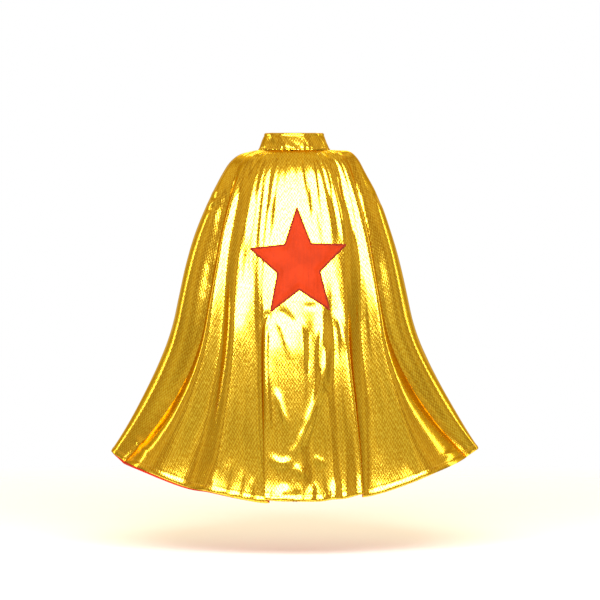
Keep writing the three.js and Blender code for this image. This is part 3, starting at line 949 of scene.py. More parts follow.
    def relief(self, place: Array, share: Array, point: Array) -> Array:
        """The small relief on the folds.

        It is the sum of the gathers below the neck seam, a faint crinkle, the creases, the buckles,
        pucker and roll of the hem, and the grooves along the side seams.

        Args:
            place: how many fold lines from the left front edge.
            share: the share of the way down.
            point: the folded cape there.

        Returns:
            How far the cloth stands out, in millimetres.
        """
        x, y, z = point[..., 0], point[..., 1], point[..., 2]
        across, down = place * LINE_SPACING, share * CLOTH_LENGTH
        wander = 0.5 * cloth_noise(place * 0.6, share * 4, 3) + 0.25 * cloth_noise(place * 1.3, share * 9, 4)
        fingers = np.sin(2 * np.pi * (0.45 * place + wander))
        fingers += 0.35 * np.sin(2 * np.pi * (1.05 * place - wander))
        ripple = 1.2 * fingers * smoothstep(share, 0.01, 0.06) * (1 - smoothstep(share, 0.1, 0.46))
        pleats = np.sin(2 * np.pi * (2.1 * place + wander))
        pleats *= 0.6 + 0.4 * cloth_noise(place * 1.1, share * 30, 5)
        ripple += 0.55 * pleats * (1 - smoothstep(share, 0.015, 0.07)) * smoothstep(share, 0.0, 0.004)
        crinkle = 0.26 * cloth_noise(across / 13, down / 80, 7) + 0.10 * cloth_noise(across / 6, down / 34, 8)
        sway = 2.0 * cloth_noise(across / 32, down / 190, 9) * smoothstep(share, 0.3, 0.5)
        sway += 0.7 * cloth_noise(across / 15, down / 120, 10) * smoothstep(share, 0.3, 0.5)
        rear = smoothstep(-y, -10, 30)
        small = sum(crease.relief(x, z) for crease in self.creases) * rear
        reach = np.hypot((x - self.star_x) / 0.95, z - self.star_z) / self.star_radius
        calm = 1 - 0.8 * (1 - smoothstep(reach, 0.5, 1.08)) * rear
        from_hem = (1 - share) * CLOTH_LENGTH
        buckle = 0.9 * cloth_noise(across / 19, down / 70, 11) * smoothstep(share, 0.88, 0.99)
        pucker = 0.2 * np.sin(2 * np.pi * across / 9.5 + 3 * wander) * bell(from_hem - 12, 7)
        roll = 0.5 * np.sin(np.pi * np.clip(from_hem / 11, 0, 1)) - 0.25 * bell(from_hem - 12, 1.8)
        total = (ripple + crinkle + sway) * calm + small + buckle + pucker + roll
        for seam in (self.left_seam, self.right_seam):
            gap = np.abs(place - seam) * LINE_SPACING
            total -= 1.1 * bell(gap, 2.0)
            total += 0.55 * cloth_noise(gap / 12, down / 11, 12) * bell(gap, 9) * smoothstep(share, 0.03, 0.1)
        return total

    def layer(self, place: Array, share: Array, offset: Array | float) -> tuple[Array, Array]:
        """A layer that follows the folds and their relief.

        Args:
            place: how many fold lines from the left front edge.
            share: the share of the way down.
            offset: the distance outside the shell's outer face, negative inside it.

        Returns:
            The layer's points, and the outward directions of the folded cape there.
        """
        place, share = np.broadcast_arrays(np.asarray(place, float), np.asarray(share, float))
        point = self.folded(place, share)
        out = self.outwards(self.folded, place, share, 0.25)
        height = self.relief(place, share, point) + offset
        return point + out * height[..., None], out

    def seen_at(self, x: Array, z: Array) -> tuple[Array, Array]:
        """The places and shares on the back that are seen at (x, z) from straight behind.

        Args:
            x: across the back, in millimetres.
            z: up.

        Returns:
            Place and share, found by Newton's steps from the middle of the back.
        """
        place = np.full_like(x, (self.left_seam + self.right_seam) / 2)
        share = -z / self.back.length
        for _ in range(NEWTON_STEPS):
            here = self.folded(place, share)
            by_place = (self.folded(place + NUDGE, share) - here) / NUDGE
            by_share = (self.folded(place, share + NUDGE) - here) / NUDGE
            dx, dz = x - here[..., 0], z - here[..., 2]
            scale = by_place[..., 0] * by_share[..., 2] - by_share[..., 0] * by_place[..., 2]
            place = place + (dx * by_share[..., 2] - dz * by_share[..., 0]) / scale
            share = share + (dz * by_place[..., 0] - dx * by_place[..., 2]) / scale
        return place, share


# ---- Pieces --------------------------------------------------------------------------------------------


class Held(Enum):
    """The ways in which a cloth is held."""

    GATHERED = "gathered"
    HUNG = "hung"
    STRETCHED = "stretched"
    FOLDED = "folded"


@dataclass(frozen=True)
class Cut:
    """The flat cut of a cloth, in metres and square metres, and how it is held."""

    width: float
    length: float
    held: Held
    rests_on: tuple[str, ...]
    area: float | None = None


def make_piece(
    name: str, solid: Solid, finish: Finishes, stands_for: Sequence[str], crease: float = 50.0
) -> bpy.types.Object:
    """Puts a solid into a mesh and dresses it.

    Args:
        name: the piece's name.
        solid: its shape.
        finish: its finish.
        stands_for: the CAD nodes that it replaces.
        crease: edges sharper than this many degrees stay sharp.

    Returns:
        The object, at the origin.
    """
    mesh = bpy.data.meshes.new(name)
    corners = np.concatenate([block.reshape(-1) for block in solid.faces]).astype(np.int32)
    totals = np.concatenate([np.full(len(block), block.shape[1]) for block in solid.faces]).astype(np.int32)
    mesh.vertices.add(len(solid.vertices))
    mesh.vertices.foreach_set("co", (solid.vertices * MM).astype(np.float32).ravel())
    mesh.loops.add(len(corners))
    mesh.loops.foreach_set("vertex_index", corners)
    mesh.polygons.add(len(totals))
    mesh.polygons.foreach_set("loop_start", np.concatenate([[0], np.cumsum(totals)[:-1]]).astype(np.int32))
    mesh.polygons.foreach_set("loop_total", totals)
    mesh.polygons.foreach_set("use_smooth", np.ones(len(totals), bool))
    layer = mesh.uv_layers.new(name="UVMap")
    layer.data.foreach_set("uv", solid.uv[corners].astype(np.float32).ravel())
    mesh.update(calc_edges=True)
    mesh.validate()
    mesh.set_sharp_from_angle(angle=math.radians(crease))
    mesh.materials.append(finish.finish.material())
    piece = bpy.data.objects.new(name, mesh)
    bpy.context.scene.collection.objects.link(piece)
    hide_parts(*stands_for)
    LOG.info("%s: %d triangles, for %s", name, (totals - 2).sum(), ", ".join(stands_for))
    return piece


@dataclass
class SubAssembly:
    """A part of the cape whose pieces ride on one body."""

    form: CapeForm
    body: str

    def add(
        self, name: str, solid: Solid, finish: Finishes, *stands_for: str, cut: Cut | None = None
    ) -> bpy.types.Object:
        piece = make_piece(name, solid, finish, stands_for)
        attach(piece, self.body)
        if cut is not None:
            self.declare(piece, cut)
        return piece

    @staticmethod
    def declare(piece: bpy.types.Object, cut: Cut) -> None:
        """Takes a piece and its cut, and does nothing with them."""

    def build(self) -> None:
        """Makes the pieces."""
        raise NotImplementedError


@dataclass
class Panel(SubAssembly):
    """One panel of shell and lining from seam to seam, with its hem's stitching."""

    name: str
    first: int
    end: int
    shell_cut: Cut
    lining_cut: Cut
    columns_per_line: int
    edges: tuple[bool, bool]
    swings: bool = False
    rows: int = 200
    shell_thickness: float = 0.6
    lining_outer: float = -2.0
    lining_thickness: float = 0.5
    lining_shows: float = 5.0
    hem_stitch_height: float = 12.0
    stitch_pitch: float = 3.4
    stitch_length: float = 2.7
    stitched_length: float = 715.0
    curled: float = 2.6
    edge_spacing: float = 40.0
    side_gap: float = 0.002
    blend_start: tuple[float, float, float] = (0.0086, 0.0586, 0.0)
    blend_end: tuple[float, float, float] = (-0.028, 0.180, -0.028)

    def places(self, per_line: int) -> Array:
        """The columns' places, with both side edges drawn in by the gap between two panels."""
        places = np.linspace(self.first, self.end, (self.end - self.first) * per_line + 1)
        places[0] += self.side_gap
        places[-1] -= self.side_gap
        return places

    def curl(self, place: Array, share: Array) -> Array:
        """How far the two layers turn towards each other: 0 inside, 1 at the hem and at a free front edge."""
        total = smoothstep(share, 1 - self.curled / CLOTH_LENGTH, 1.0)
        gap = [np.abs(place - end) * self.edge_spacing for end in (self.first, self.end)]
        for free, distance in zip(self.edges, gap):
            if free:
                total = np.maximum(total, 1 - smoothstep(distance, 0, 3))
        return total

    def lining_hem(self, place: Array) -> Array:
        """The lining's length as a share of the shell's: longer towards the wearer's left, where it shows."""
        seam = self.form.left_seam
        left = np.clip((seam + 4 - place) / 4, 0, 1)
        side = np.clip(place - seam + 1, 0, 1)
        return 1 + self.lining_shows * left * side / self.form.left.length

    def grid(self, rows: int, per_line: int) -> tuple[Array, Array]:
        """Places and shares on a grid whose rows lie close together at the neck seam and at the hem."""
        even = np.linspace(0, 1, rows)
        shares = mix(even, smoothstep(even, 0, 1), 0.35)
        return np.meshgrid(self.places(per_line), shares)

    def shell(self) -> Solid:
        """The gold layer, curled in at its free edges."""
        place, share = self.grid(self.rows, self.columns_per_line)
        points, _ = self.form.layer(place, share, -0.7 * self.curl(place, share))
        return Cloth(points, outward_of(points), flat_uv(points), self.shell_thickness).solid()

    def lining(self) -> Solid:
        """The red layer inside it, curled out at its free edges."""
        place, share = self.grid(self.rows * 5 // 8, self.columns_per_line * 5 // 8)
        curl = self.curl(place, share)
        points, _ = self.form.layer(place, share * self.lining_hem(place), self.lining_outer + 0.6 * curl)
        return Cloth(points, outward_of(points), flat_uv(points), self.lining_thickness).solid()

    def hem_row(self, offset: float, inside: bool) -> Solid:
        """A row of stitches along the hem, on either side of the cape."""
        place = np.linspace(self.first + 0.04, self.end - 0.04, 900)
        share = np.full_like(place, 1 - self.hem_stitch_height / self.stitched_length)
        points, out = self.form.layer(place, share, offset)
        return stitched(points, -out if inside else out, self.stitch_pitch, self.stitch_length, 0.24, 0.22)

    def build(self) -> None:
        """Makes the shell, the lining and the two rows of stitches."""
        inner = self.lining_outer - self.lining_thickness
        made = [
            (f"{self.name}_shell", self.shell(), Finishes.GOLD, f"{self.name}_panel", self.shell_cut),
            (f"{self.name}_lining_cloth", self.lining(), Finishes.LINING, f"{self.name}_lining",
             self.lining_cut),
            (f"{self.name}_hem_stitches", self.hem_row(inner - 0.05, True), Finishes.RED_THREAD,
             f"{self.name}_hem_stitching", None),
            (f"{self.name}_hem_topstitches", self.hem_row(0.05, False), Finishes.GOLD_THREAD,
             f"{self.name}_hem_stitching", None),
        ]
        for name, solid, finish, node, cut in made:
            if self.swings:
                piece = make_piece(name, solid, finish, (node,))
                side = -1 if self.first == 0 else 1
                start, end = ((side * x, y, z) for x, y, z in (self.blend_start, self.blend_end))
                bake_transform(piece)
                if cut is not None:
                    self.declare(piece, cut)
            else:
                self.add(name, solid, finish, node, cut=cut)


@dataclass
class Collar(SubAssembly):
    """The stand collar: two cloths with an interlining between them, its seam's stitching and tape."""

    height: float = 34.0
    lean: float = 12.5
    end_deg: float = 174.0
    above_seam: float = 0.35
    tape_half_height: float = 6.0
    mean_radius: float = 62.0
    columns: int = 520

    def at(self, angle: Array, height: Array, offset: Array | float) -> tuple[Array, Array]:
        """Points on the leaning collar.

        The collar is the neck's ellipse, drawn in by the lean in proportion to the height.

        Args:
            angle: from the middle of the back, in radians.
            height: above the neck seam, in millimetres.
            offset: the distance outside the collar's outer face.

        Returns:
            The points and the outward directions.
        """
        angle, height = np.broadcast_arrays(angle, height)
        lean = self.lean * height / self.height
        width, depth = self.form.neck_half_width - lean, self.form.neck_half_depth - lean
        point = np.stack([width * np.sin(angle), -depth * np.cos(angle), height + self.above_seam], -1)
        along = np.stack([width * np.cos(angle), depth * np.sin(angle), 0 * angle], -1)
        slope = self.lean / self.height
        up = np.stack([-slope * np.sin(angle), slope * np.cos(angle), np.ones_like(angle)], -1)
        out = unit(np.cross(along, up))
        return point + out * np.asarray(offset)[..., None], out

    def relief(self, angle: Array, height: Array) -> Array:
        """The collar's wrinkles: puckers at the seam, slanting creases, and a roll at the top edge."""
        arc = angle * self.mean_radius
        wander = cloth_noise(arc / 9, height / 12, 21)
        pucker = 0.5 * np.sin(2 * np.pi * arc / 8.5 + 2.6 * wander) * np.exp(-height / 6)
        slant = 1.1 * cloth_noise((arc + 1.1 * height) / 17, height / 24, 22)
        slant += 0.1 * cloth_noise(arc / 6, height / 10, 23)
        roll = 0.5 * bell(height - self.height + 2.5, 1.8) - 0.35 * bell(height - self.height + 6.0, 1.2)
        piping = 0.75 * bell(height - 1.2, 1.3) - 0.35 * bell(height - 3.6, 1.0)
        return pucker + slant + roll + piping

    def band(
        self, low: float, high: float, outer: float, thickness: float, rows: int, relief: float,
        top_curl: float = 0.0,
    ) -> Solid:
        """A band all round the collar.

        Args:
            low: its lower edge's height.
            high: its upper edge's height.
            outer: its outer face's offset.
            thickness: of the cloth.
            rows: rows of points.
            relief: how much of the wrinkles it has.
            top_curl: how far its top edge turns in.

        Returns:
            The band as a closed cloth.
        """
        end = math.radians(self.end_deg)
        angle, height = np.meshgrid(np.linspace(-end, end, self.columns), np.linspace(high, low, rows))
        from_end = (end - np.abs(angle)) * self.mean_radius
        curl = top_curl * smoothstep(height, high - 2.2, high)
        curl += 0.4 * (1 - smoothstep(from_end, 0, 2)) * np.sign(top_curl)
        points, _ = self.at(angle, height, outer + relief * self.relief(angle, height) - curl)
        return Cloth(points, outward_of(points), flat_uv(points), thickness).solid()

    def row(self, height: float, offset: float, pitch: float, inside: bool) -> Solid:
        """A row of stitches round the collar at a height."""
        end = math.radians(self.end_deg - 1)
        angle = np.linspace(-end, end, 900)
        level = np.full_like(angle, height)
        relief = 0.0 if inside else self.relief(angle, level)
        points, out = self.at(angle, level, offset + relief)
        return stitched(points, -out if inside else out, pitch, pitch * 0.8, 0.26, 0.2)

    def build(self) -> None:
        """Makes the collar's pieces."""
        self.add("collar_outer_cloth", self.band(0, self.height, 0, 0.7, 42, 1.0, 1.0), Finishes.GOLD,
                 "collar_outer", cut=Cut(0.385, 0.036, Held.STRETCHED, ("back_shell",)))
        self.add("collar_stiffener", self.band(1.5, self.height - 1.5, -1.3, 0.45, 8, 0.35),
                 Finishes.INTERLINING, "collar_interlining",
                 cut=Cut(0.38, 0.033, Held.STRETCHED, ("collar_outer_cloth",)))
        self.add("collar_facing_cloth", self.band(0, self.height, -2.3, 0.7, 42, 0.4, -0.8), Finishes.GOLD,
                 "collar_facing", cut=Cut(0.37, 0.036, Held.STRETCHED, ("collar_stiffener",)))
        self.add("collar_seam_stitches", self.row(3.4, 0.05, 3.0, False), Finishes.GOLD_THREAD,
                 "collar_stitching")
        half = self.tape_half_height
        self.add("neck_tape_cloth", self.band(-half, half, -3.5, 0.7, 14, 0.0), Finishes.TAPE, "neck_tape",
                 cut=Cut(0.365, 0.012, Held.STRETCHED, ("collar_facing_cloth",)))
        edges = [self.row(h, -4.22, 3.0, True) for h in (half - 1.3, 1.3 - half)]
        self.add("neck_tape_stitches", Solid.joined(edges), Finishes.RED_THREAD, "neck_tape")


@dataclass
class Closure(SubAssembly):
    """The tab across the collar's front, its stitching, and the two halves of its touch fastener."""

    collar: Collar
    root_deg: float = -166.0
    tip_deg: float = -201.0
    low: float = 6.0
    high: float = 28.0
    pad_start_deg: float = -187.0
    gap: float = 0.35
    pad: float = 1.1
    thickness: float = 1.3

    def seated(self, degrees: Array) -> Array:
        """The tab's inner face: on the collar at its root, and smoothly up over the two pads."""
        rise = smoothstep(self.root_deg - degrees, 2, self.root_deg - self.pad_start_deg - 1)
        return mix(self.gap, 3 * self.gap + 2 * self.pad, rise)

    def outline(self, degrees: Array, shrink: float) -> Array:
        """The tab's half height: full, and rounded off as an ellipse over its last five degrees."""
        left = np.clip((degrees - self.tip_deg - shrink * 0.9) / 5.5, 0, 1)
        return ((self.high - self.low) / 2 - shrink) * np.sqrt(np.clip(1 - (1 - left) ** 2.4, 0.02, 1))

    def face(self, rows: int, columns: int, shrink: float) -> tuple[Array, Array]:
        """Angles in degrees and heights on the tab, inside its rounded outline."""
        degrees = np.linspace(self.tip_deg + 0.9 * shrink + 0.02, self.root_deg - 0.4 * shrink, columns)
        spread = np.linspace(1, -1, rows)[:, None]
        height = (self.low + self.high) / 2 + spread * self.outline(degrees, shrink)
        return np.broadcast_to(degrees, (rows, columns)), height

    def tab(self) -> Solid:
        """The tab: two layers of cloth turned out, so its edges are thin and its middle is full."""
        rows, columns = 40, 120
        degrees, height = self.face(rows, columns, 0.0)
        rim = np.minimum(np.linspace(0, 1, rows), np.linspace(1, 0, rows))[:, None] * 22
        tip = (degrees - self.tip_deg) * 0.95
        full = smoothstep(np.minimum(rim, tip), 0, 2.4)
        wrinkle = 0.18 * cloth_noise(degrees / 2.5, height / 5, 31)
        outer = self.seated(degrees) + self.thickness * (0.45 + 0.55 * full) + wrinkle * full
        outer -= 0.25 * bell(np.minimum(rim, tip) - 2.6, 0.6)
        points, out = self.collar.at(np.radians(degrees), height, outer)
        inner, _ = self.collar.at(np.radians(degrees), height, self.seated(degrees) + 0.25 * (1 - full))
        cloth = Cloth(points, out, flat_uv(points), 1.0).solid()
        vertices = cloth.vertices.copy()
        vertices[rows * columns:] = inner.reshape(-1, 3)
        return Solid(vertices, cloth.faces, cloth.uv)

    def stitch_line(self) -> Solid:
        """Stitches round the tab, a little inside its edge, and across its root."""
        degrees, height = self.face(3, 160, 2.2)
        top = np.stack([degrees[0][::-1], height[0][::-1]])
        bottom = np.stack([degrees[-1], height[-1]])
        root = np.stack([np.full(30, self.root_deg - 1.0), np.linspace(bottom[1, -1], top[1, 0], 30)])
        line = np.concatenate([top, bottom, root], 1)
        offset = self.seated(line[0]) + self.thickness - 0.2
        points, out = self.collar.at(np.radians(line[0]), line[1], offset)
        inner_root = np.stack([np.full(40, self.root_deg - 4.5), np.linspace(self.low + 3, self.high - 3, 40)])
        more, more_out = self.collar.at(
            np.radians(inner_root[0]), inner_root[1], self.seated(inner_root[0]) + self.thickness)
        rows = [(points, out), (more, more_out)]
        return Solid.joined([stitched(p, o, 2.6, 2.1, 0.22, 0.2) for p, o in rows])

    def backing(self, outer: float, thickness: float) -> Solid:
        """A pad's woven ground."""
        degrees, height = np.meshgrid(
            np.linspace(self.tip_deg + 1.6, self.pad_start_deg, 48),
            np.linspace(self.high - 1.5, self.low + 1.5, 40))
        points, out = self.collar.at(np.radians(degrees), height, outer)
        return Cloth(points, out, flat_uv(points), thickness).solid()

    def hooks(self, base: float, lift: float, inwards: bool, spread: float) -> Solid:
        """The pile of a pad: rows of small arches that stand on its ground.

        Args:
            base: the offset that they stand on.
            lift: how high they arch.
            inwards: whether they stand towards the collar.
            spread: the length of one arch.

        Returns:
            The arches as one solid.
        """
        degrees, height = np.meshgrid(
            np.arange(self.tip_deg + 2.2, self.pad_start_deg - 0.6, 0.9),
            np.arange(self.low + 2.4, self.high - 2.2, 1.0))
        jitter = cloth_noise(degrees * 3.1, height * 2.7, 41)
        turn = np.pi * (0.5 + 0.45 * jitter) if inwards else np.full_like(jitter, np.pi / 2)
        points, out = self.collar.at(np.radians(degrees), height, base)
        around = unit(np.cross([0.0, 0.0, 1.0], out))
        half = (np.cos(turn)[..., None] * around + np.sin(turn)[..., None] * np.cross(out, around)) * spread / 2
        flat = [a.reshape(-1, 3) for a in (points - half, points + half, -out if inwards else out)]
        return thread_runs(*flat, radius=0.13, lift=lift, rings=5, sides=4)

    def build(self) -> None:
        """Makes the tab, its stitches and the loop pad."""
        self.add("closure_tab_cloth", self.tab(), Finishes.GOLD, "closure_tab",
                 cut=Cut(0.045, 0.024, Held.FOLDED, ("collar_outer_cloth",)))
        self.add("closure_tab_stitches", self.stitch_line(), Finishes.GOLD_THREAD, "tab_stitching")
        top = 2 * self.gap + 2 * self.pad
        pad = Solid.joined([self.backing(top, 0.55), self.hooks(top - 0.55, 0.34, True, 0.9)])
        self.add("loop_pad_cloth", pad, Finishes.LOOPS, "loop_pad")


@dataclass
class HookPad(SubAssembly):
    """The half of the touch fastener that stays on the collar."""

    closure: Closure

    def build(self) -> None:
        """Makes the pad with its hooks."""
        base = self.closure.gap + 0.5
        pad = Solid.joined([self.closure.backing(base, 0.5), self.closure.hooks(base, 0.42, False, 0.8)])
        self.add("hook_pad_cloth", pad, Finishes.HOOKS, "hook_pad")


@dataclass
class Star(SubAssembly):
    """The star on the back: a stabiliser, the satin star, and the satin stitches round its edge."""

    narrowing: float = 0.885
    inner_share: float = 0.44
    tilt_deg: float = 2.0
    stitch_length: float = 4.2
    stitch_pitch: float = 0.72
    per_edge: int = 36
    rings: int = 44
    mean_reach: float = 48.0

    def corner(self, index: Array, scale: Array | float = 1.0) -> Array:
        """The star's tips (even) and hollows (odd), anticlockwise from the top, as (x, z) from its centre."""
        radius = self.form.star_radius * scale * np.where(index % 2 == 1, self.inner_share, 1.0)
        angle = np.radians(self.tilt_deg + 90 + 36 * index)
        return np.stack([self.narrowing * radius * np.cos(angle), radius * np.sin(angle)], -1)

    def outline(self, per_edge: int) -> Array:
        """The star's edge, with the same number of points on each of its ten sides."""
        start = self.corner(np.arange(10))
        step = (np.arange(per_edge) / per_edge)[None, :, None]
        return mix(start[:, None], np.roll(start, -1, 0)[:, None], step).reshape(-1, 2)

    def on_back(self, spots: Array, offset: Array | float) -> tuple[Array, Array]:
        """Points over the back at (x, z) from the star's centre, and the outward directions there."""
        place, share = self.form.seen_at(spots[..., 0] + self.form.star_x, spots[..., 1] + self.form.star_z)
        return self.form.layer(place, share, offset)

    def puckers(self, spots: Array, to_edge: Array) -> Array:
        """The satin's own relief: puckers under the stitches, and slack folds further in."""
        around = np.arctan2(spots[..., 1], spots[..., 0]) * self.form.star_radius
        near = bell(to_edge - 3, 6)
        pull = 0.35 * np.sin(2 * np.pi * around / 9 + 3 * cloth_noise(around / 20, to_edge / 15, 51)) * near
        x, z = spots[..., 0], spots[..., 1]
        slack = 1.5 * cloth_noise(x / 24, z / 40, 52) + 0.7 * cloth_noise((x + z) / 14, (x - z) / 30, 53)
        return pull + (slack + 1.2) * smoothstep(to_edge, 2, 16)

    def patch(self, offset: float, thickness: float, pucker: float, rings: int, per_edge: int) -> Solid:
        """A star of cloth, on rings that grow from its centre to its edge.

        Args:
            offset: its outer face's distance from the shell.
            thickness: of the cloth.
            pucker: how much of the puckers it has.
            rings: how many rings.
            per_edge: points on each of the ten sides.

        Returns:
            The star as a closed cloth.
        """
        grow = 1 - (1 - np.linspace(0.02, 1, rings)) ** 1.5
        spots = grow[:, None, None] * self.outline(per_edge)[None]
        to_edge = (1 - grow)[:, None] * self.mean_reach + 0 * spots[..., 0]
        height = offset + pucker * self.puckers(spots, to_edge)
        points, out = self.on_back(spots, height)
        return Cloth(points, out, spots * MM, thickness, wraps=True).solid()

    def border(self) -> Solid:
        """Satin stitches square to the star's edge, close together, and fanned round its corners."""
        edge = self.outline(120)
        closed = np.concatenate([edge, edge[:1]])
        walked = lengths_along(closed, 0)
        count = int(walked[-1] / self.stitch_pitch)
        at = np.arange(count) * walked[-1] / count
        spots = np.stack([np.interp(at, walked, closed[:, k]) for k in range(2)], -1)
        along = np.roll(spots, -1, 0) - np.roll(spots, 1, 0)
        window = np.hanning(9)
        smooth = sum(w * np.roll(along, k - 4, 0) for k, w in enumerate(window))
        square = unit(np.stack([smooth[:, 1], -smooth[:, 0]], -1)) * self.stitch_length / 2
        wobble = (0.12 * cloth_noise(at / 1.1, 0 * at, 61))[:, None]
        inner, out = self.on_back(spots + square * (wobble - 1), 1.35)
        outer, _ = self.on_back(spots + square * (wobble + 1), 0.15)
        return thread_runs(inner, outer, out, radius=0.47, lift=0.75, rings=5, sides=6)

    def build(self) -> None:
        """Makes the star's pieces."""
        size = (0.19, 0.205)
        self.add("star_backing", self.patch(0.62, 0.3, 0.0, 16, 16), Finishes.INTERLINING, "star_stabiliser",
                 cut=Cut(*size, Held.STRETCHED, ("back_shell",), area=0.0145))
        self.add("star_satin_patch", self.patch(1.3, 0.45, 1.0, self.rings, self.per_edge), Finishes.STAR,
                 "star_applique", cut=Cut(*size, Held.STRETCHED, ("star_backing",), area=0.0145))
        self.add("star_border_stitches", self.border(), Finishes.BORDER, "star_border")


@dataclass
class HangerLoop(SubAssembly):
    """The cord loop inside the back of the neck."""

    half_width: float = 22.5
    depth: float = 33.0
    cord: float = 3.0
    corner: float = 7.0
    top: float = -1.0
    y: float = -49.592

    def path(self) -> Array:
        """The cord's middle line: down, round a quarter circle, across, and up again."""
        half, bend = self.half_width - self.cord / 2, self.corner - self.cord / 2
        bottom = self.top - self.depth + self.cord / 2
        turn = np.linspace(0, np.pi / 2, 14)
        left = np.stack([-half + bend - bend * np.cos(turn), bottom + bend - bend * np.sin(turn)], -1)
        leg = np.stack([np.full(24, -half), np.linspace(self.top - 1.0, bottom + bend, 25)[:-1]], -1)
        half_path = np.concatenate([leg, left])
        base = np.stack([np.linspace(bend - half, half - bend, 18)[1:-1], np.full(16, bottom)], -1)
        line = np.concatenate([half_path, base, (half_path * [-1, 1])[::-1]])
        return np.stack([line[:, 0], np.full(len(line), self.y), line[:, 1]], -1)

    def build(self) -> None:
        """Makes the loop."""
        self.add("hanger_loop_cord", tube(self.path(), self.cord / 2), Finishes.TAPE, "hanger_loop")


@dataclass
class Tacks(SubAssembly):
    """The two bar tacks over the hanger loop's ends."""

    wraps: int = 9

    def tack(self, node: str) -> Solid:
        """One tack: close wraps of thread, standing side by side, over two lengthwise threads."""
        low, high = (np.array(corner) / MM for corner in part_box(node))
        middle = (low + high) / 2
        x = np.linspace(low[0] + 0.4, high[0] - 0.4, self.wraps)
        starts = np.stack([x, np.full_like(x, low[1] + 0.3), np.full_like(x, low[2] + 0.15)], -1)
        ends = np.stack([x + 0.18, np.full_like(x, low[1] + 0.3), np.full_like(x, high[2] - 0.15)], -1)
        out = np.tile([0.0, 1.0, 0.0], (self.wraps, 1))
        wraps = thread_runs(starts, ends, out, radius=0.32, lift=0.5, rings=7)
        z = middle[2] + np.array([-0.6, 0.6])
        under = thread_runs(
            np.stack([np.full(2, low[0]), np.full(2, low[1] + 0.35), z], -1),
            np.stack([np.full(2, high[0]), np.full(2, low[1] + 0.35), z], -1), out[:2], 0.3, 0.05)
        return Solid.joined([wraps, under])

    def build(self) -> None:
        """Makes both tacks."""
        for side in ("left", "right"):
            node = f"hanger_tack_{side}"
            self.add(f"{node}_thread", self.tack(node), Finishes.RED_THREAD, node)


@dataclass
class CareLabel(SubAssembly):
    """The blank label inside the neck, and the stitches that hold it."""

    width: float = 26.0
    height: float = 38.0
    thickness: float = 0.35
    angle_deg: float = 50.0
    top: float = -1.0
    tape_half_width: float = 66.65
    tape_half_depth: float = 54.65
    clearance: float = 1.2
    box_thickness: float = 0.5

    def at(self, x: Array, z: Array, y: Array) -> Array:
        """Points in the label's own square, put in its place beside the hanger loop."""
        angle = math.radians(self.angle_deg)
        turn = math.atan2(self.tape_half_depth * math.sin(angle), self.tape_half_width * math.cos(angle))
        curve = (self.width / 2) ** 2 / (2 * self.tape_half_depth)
        y = y + curve + self.clearance + self.box_thickness / 2
        origin = [self.tape_half_width * math.sin(angle), -self.tape_half_depth * math.cos(angle), self.top]
        across = np.array([math.cos(turn), math.sin(turn), 0.0])
        inward = np.array([-math.sin(turn), math.cos(turn), 0.0])
        return np.array(origin) + x[..., None] * across + y[..., None] * inward + z[..., None] * [0.0, 0.0, 1.0]

    def build(self) -> None:
        """Makes the label, which curls a little, and its stitches."""
        x, z = np.meshgrid(np.linspace(self.width / 2, -self.width / 2, 40), np.linspace(0, -self.height, 56))
        down = -z / self.height
        curl = 0.5 * down**2 * np.sin(x / 7) + 1.1 * down**3 + 0.12 * cloth_noise(x / 6, z / 9, 71) * down
        points = self.at(x, z, curl)
        cloth = Cloth(points, outward_of(points), flat_uv(points), self.thickness)
        self.add("care_label_ribbon", cloth.solid(), Finishes.LABEL, "care_label",
                 cut=Cut(0.026, 0.038, Held.HUNG, ("neck_tape_cloth",)))
        line = np.linspace(-self.width / 2 + 1.5, self.width / 2 - 1.5, 60)
        rows = []
        for level in (-2.0, -4.2):
            path = self.at(line, np.full_like(line, level), np.full_like(line, 0.15))
            inward = self.at(line, np.full_like(line, level), np.full_like(line, 1.15)) - path
            rows.append(stitched(path, inward, 2.6, 2.1, 0.2, 0.2))
        self.add("care_label_stitches", Solid.joined(rows), Finishes.RED_THREAD, "label_stitching")


# ---- Studio ---------------------------------------------------------------------------------------------


@dataclass(frozen=True)
class Softbox:
    """A soft area light that faces the cape, with azimuth 0 behind the wearer and 90 at their right."""

    name: str
    azimuth_deg: float
    elevation_deg: float
    distance: float
    width: float
    height: float
    glow: float

    def place(self, middle: tuple[float, float, float]) -> None:
        """Puts the light at its distance from the middle of the cape, as bright for any size of face."""
        data = bpy.data.lights.new(self.name, "AREA")
        data.shape, data.size, data.size_y = "RECTANGLE", self.width, self.height
        data.energy = self.glow * math.pi * self.width * self.height
        light = bpy.data.objects.new(self.name, data)
        a, e = math.radians(self.azimuth_deg), math.radians(self.elevation_deg)
        away = np.array([math.sin(a) * math.cos(e), -math.cos(a) * math.cos(e), math.sin(e)])
        light.location = away * self.distance + np.array(middle)
        light.rotation_euler = (math.pi / 2 - e, 0.0, a)
        bpy.context.scene.collection.objects.link(light)


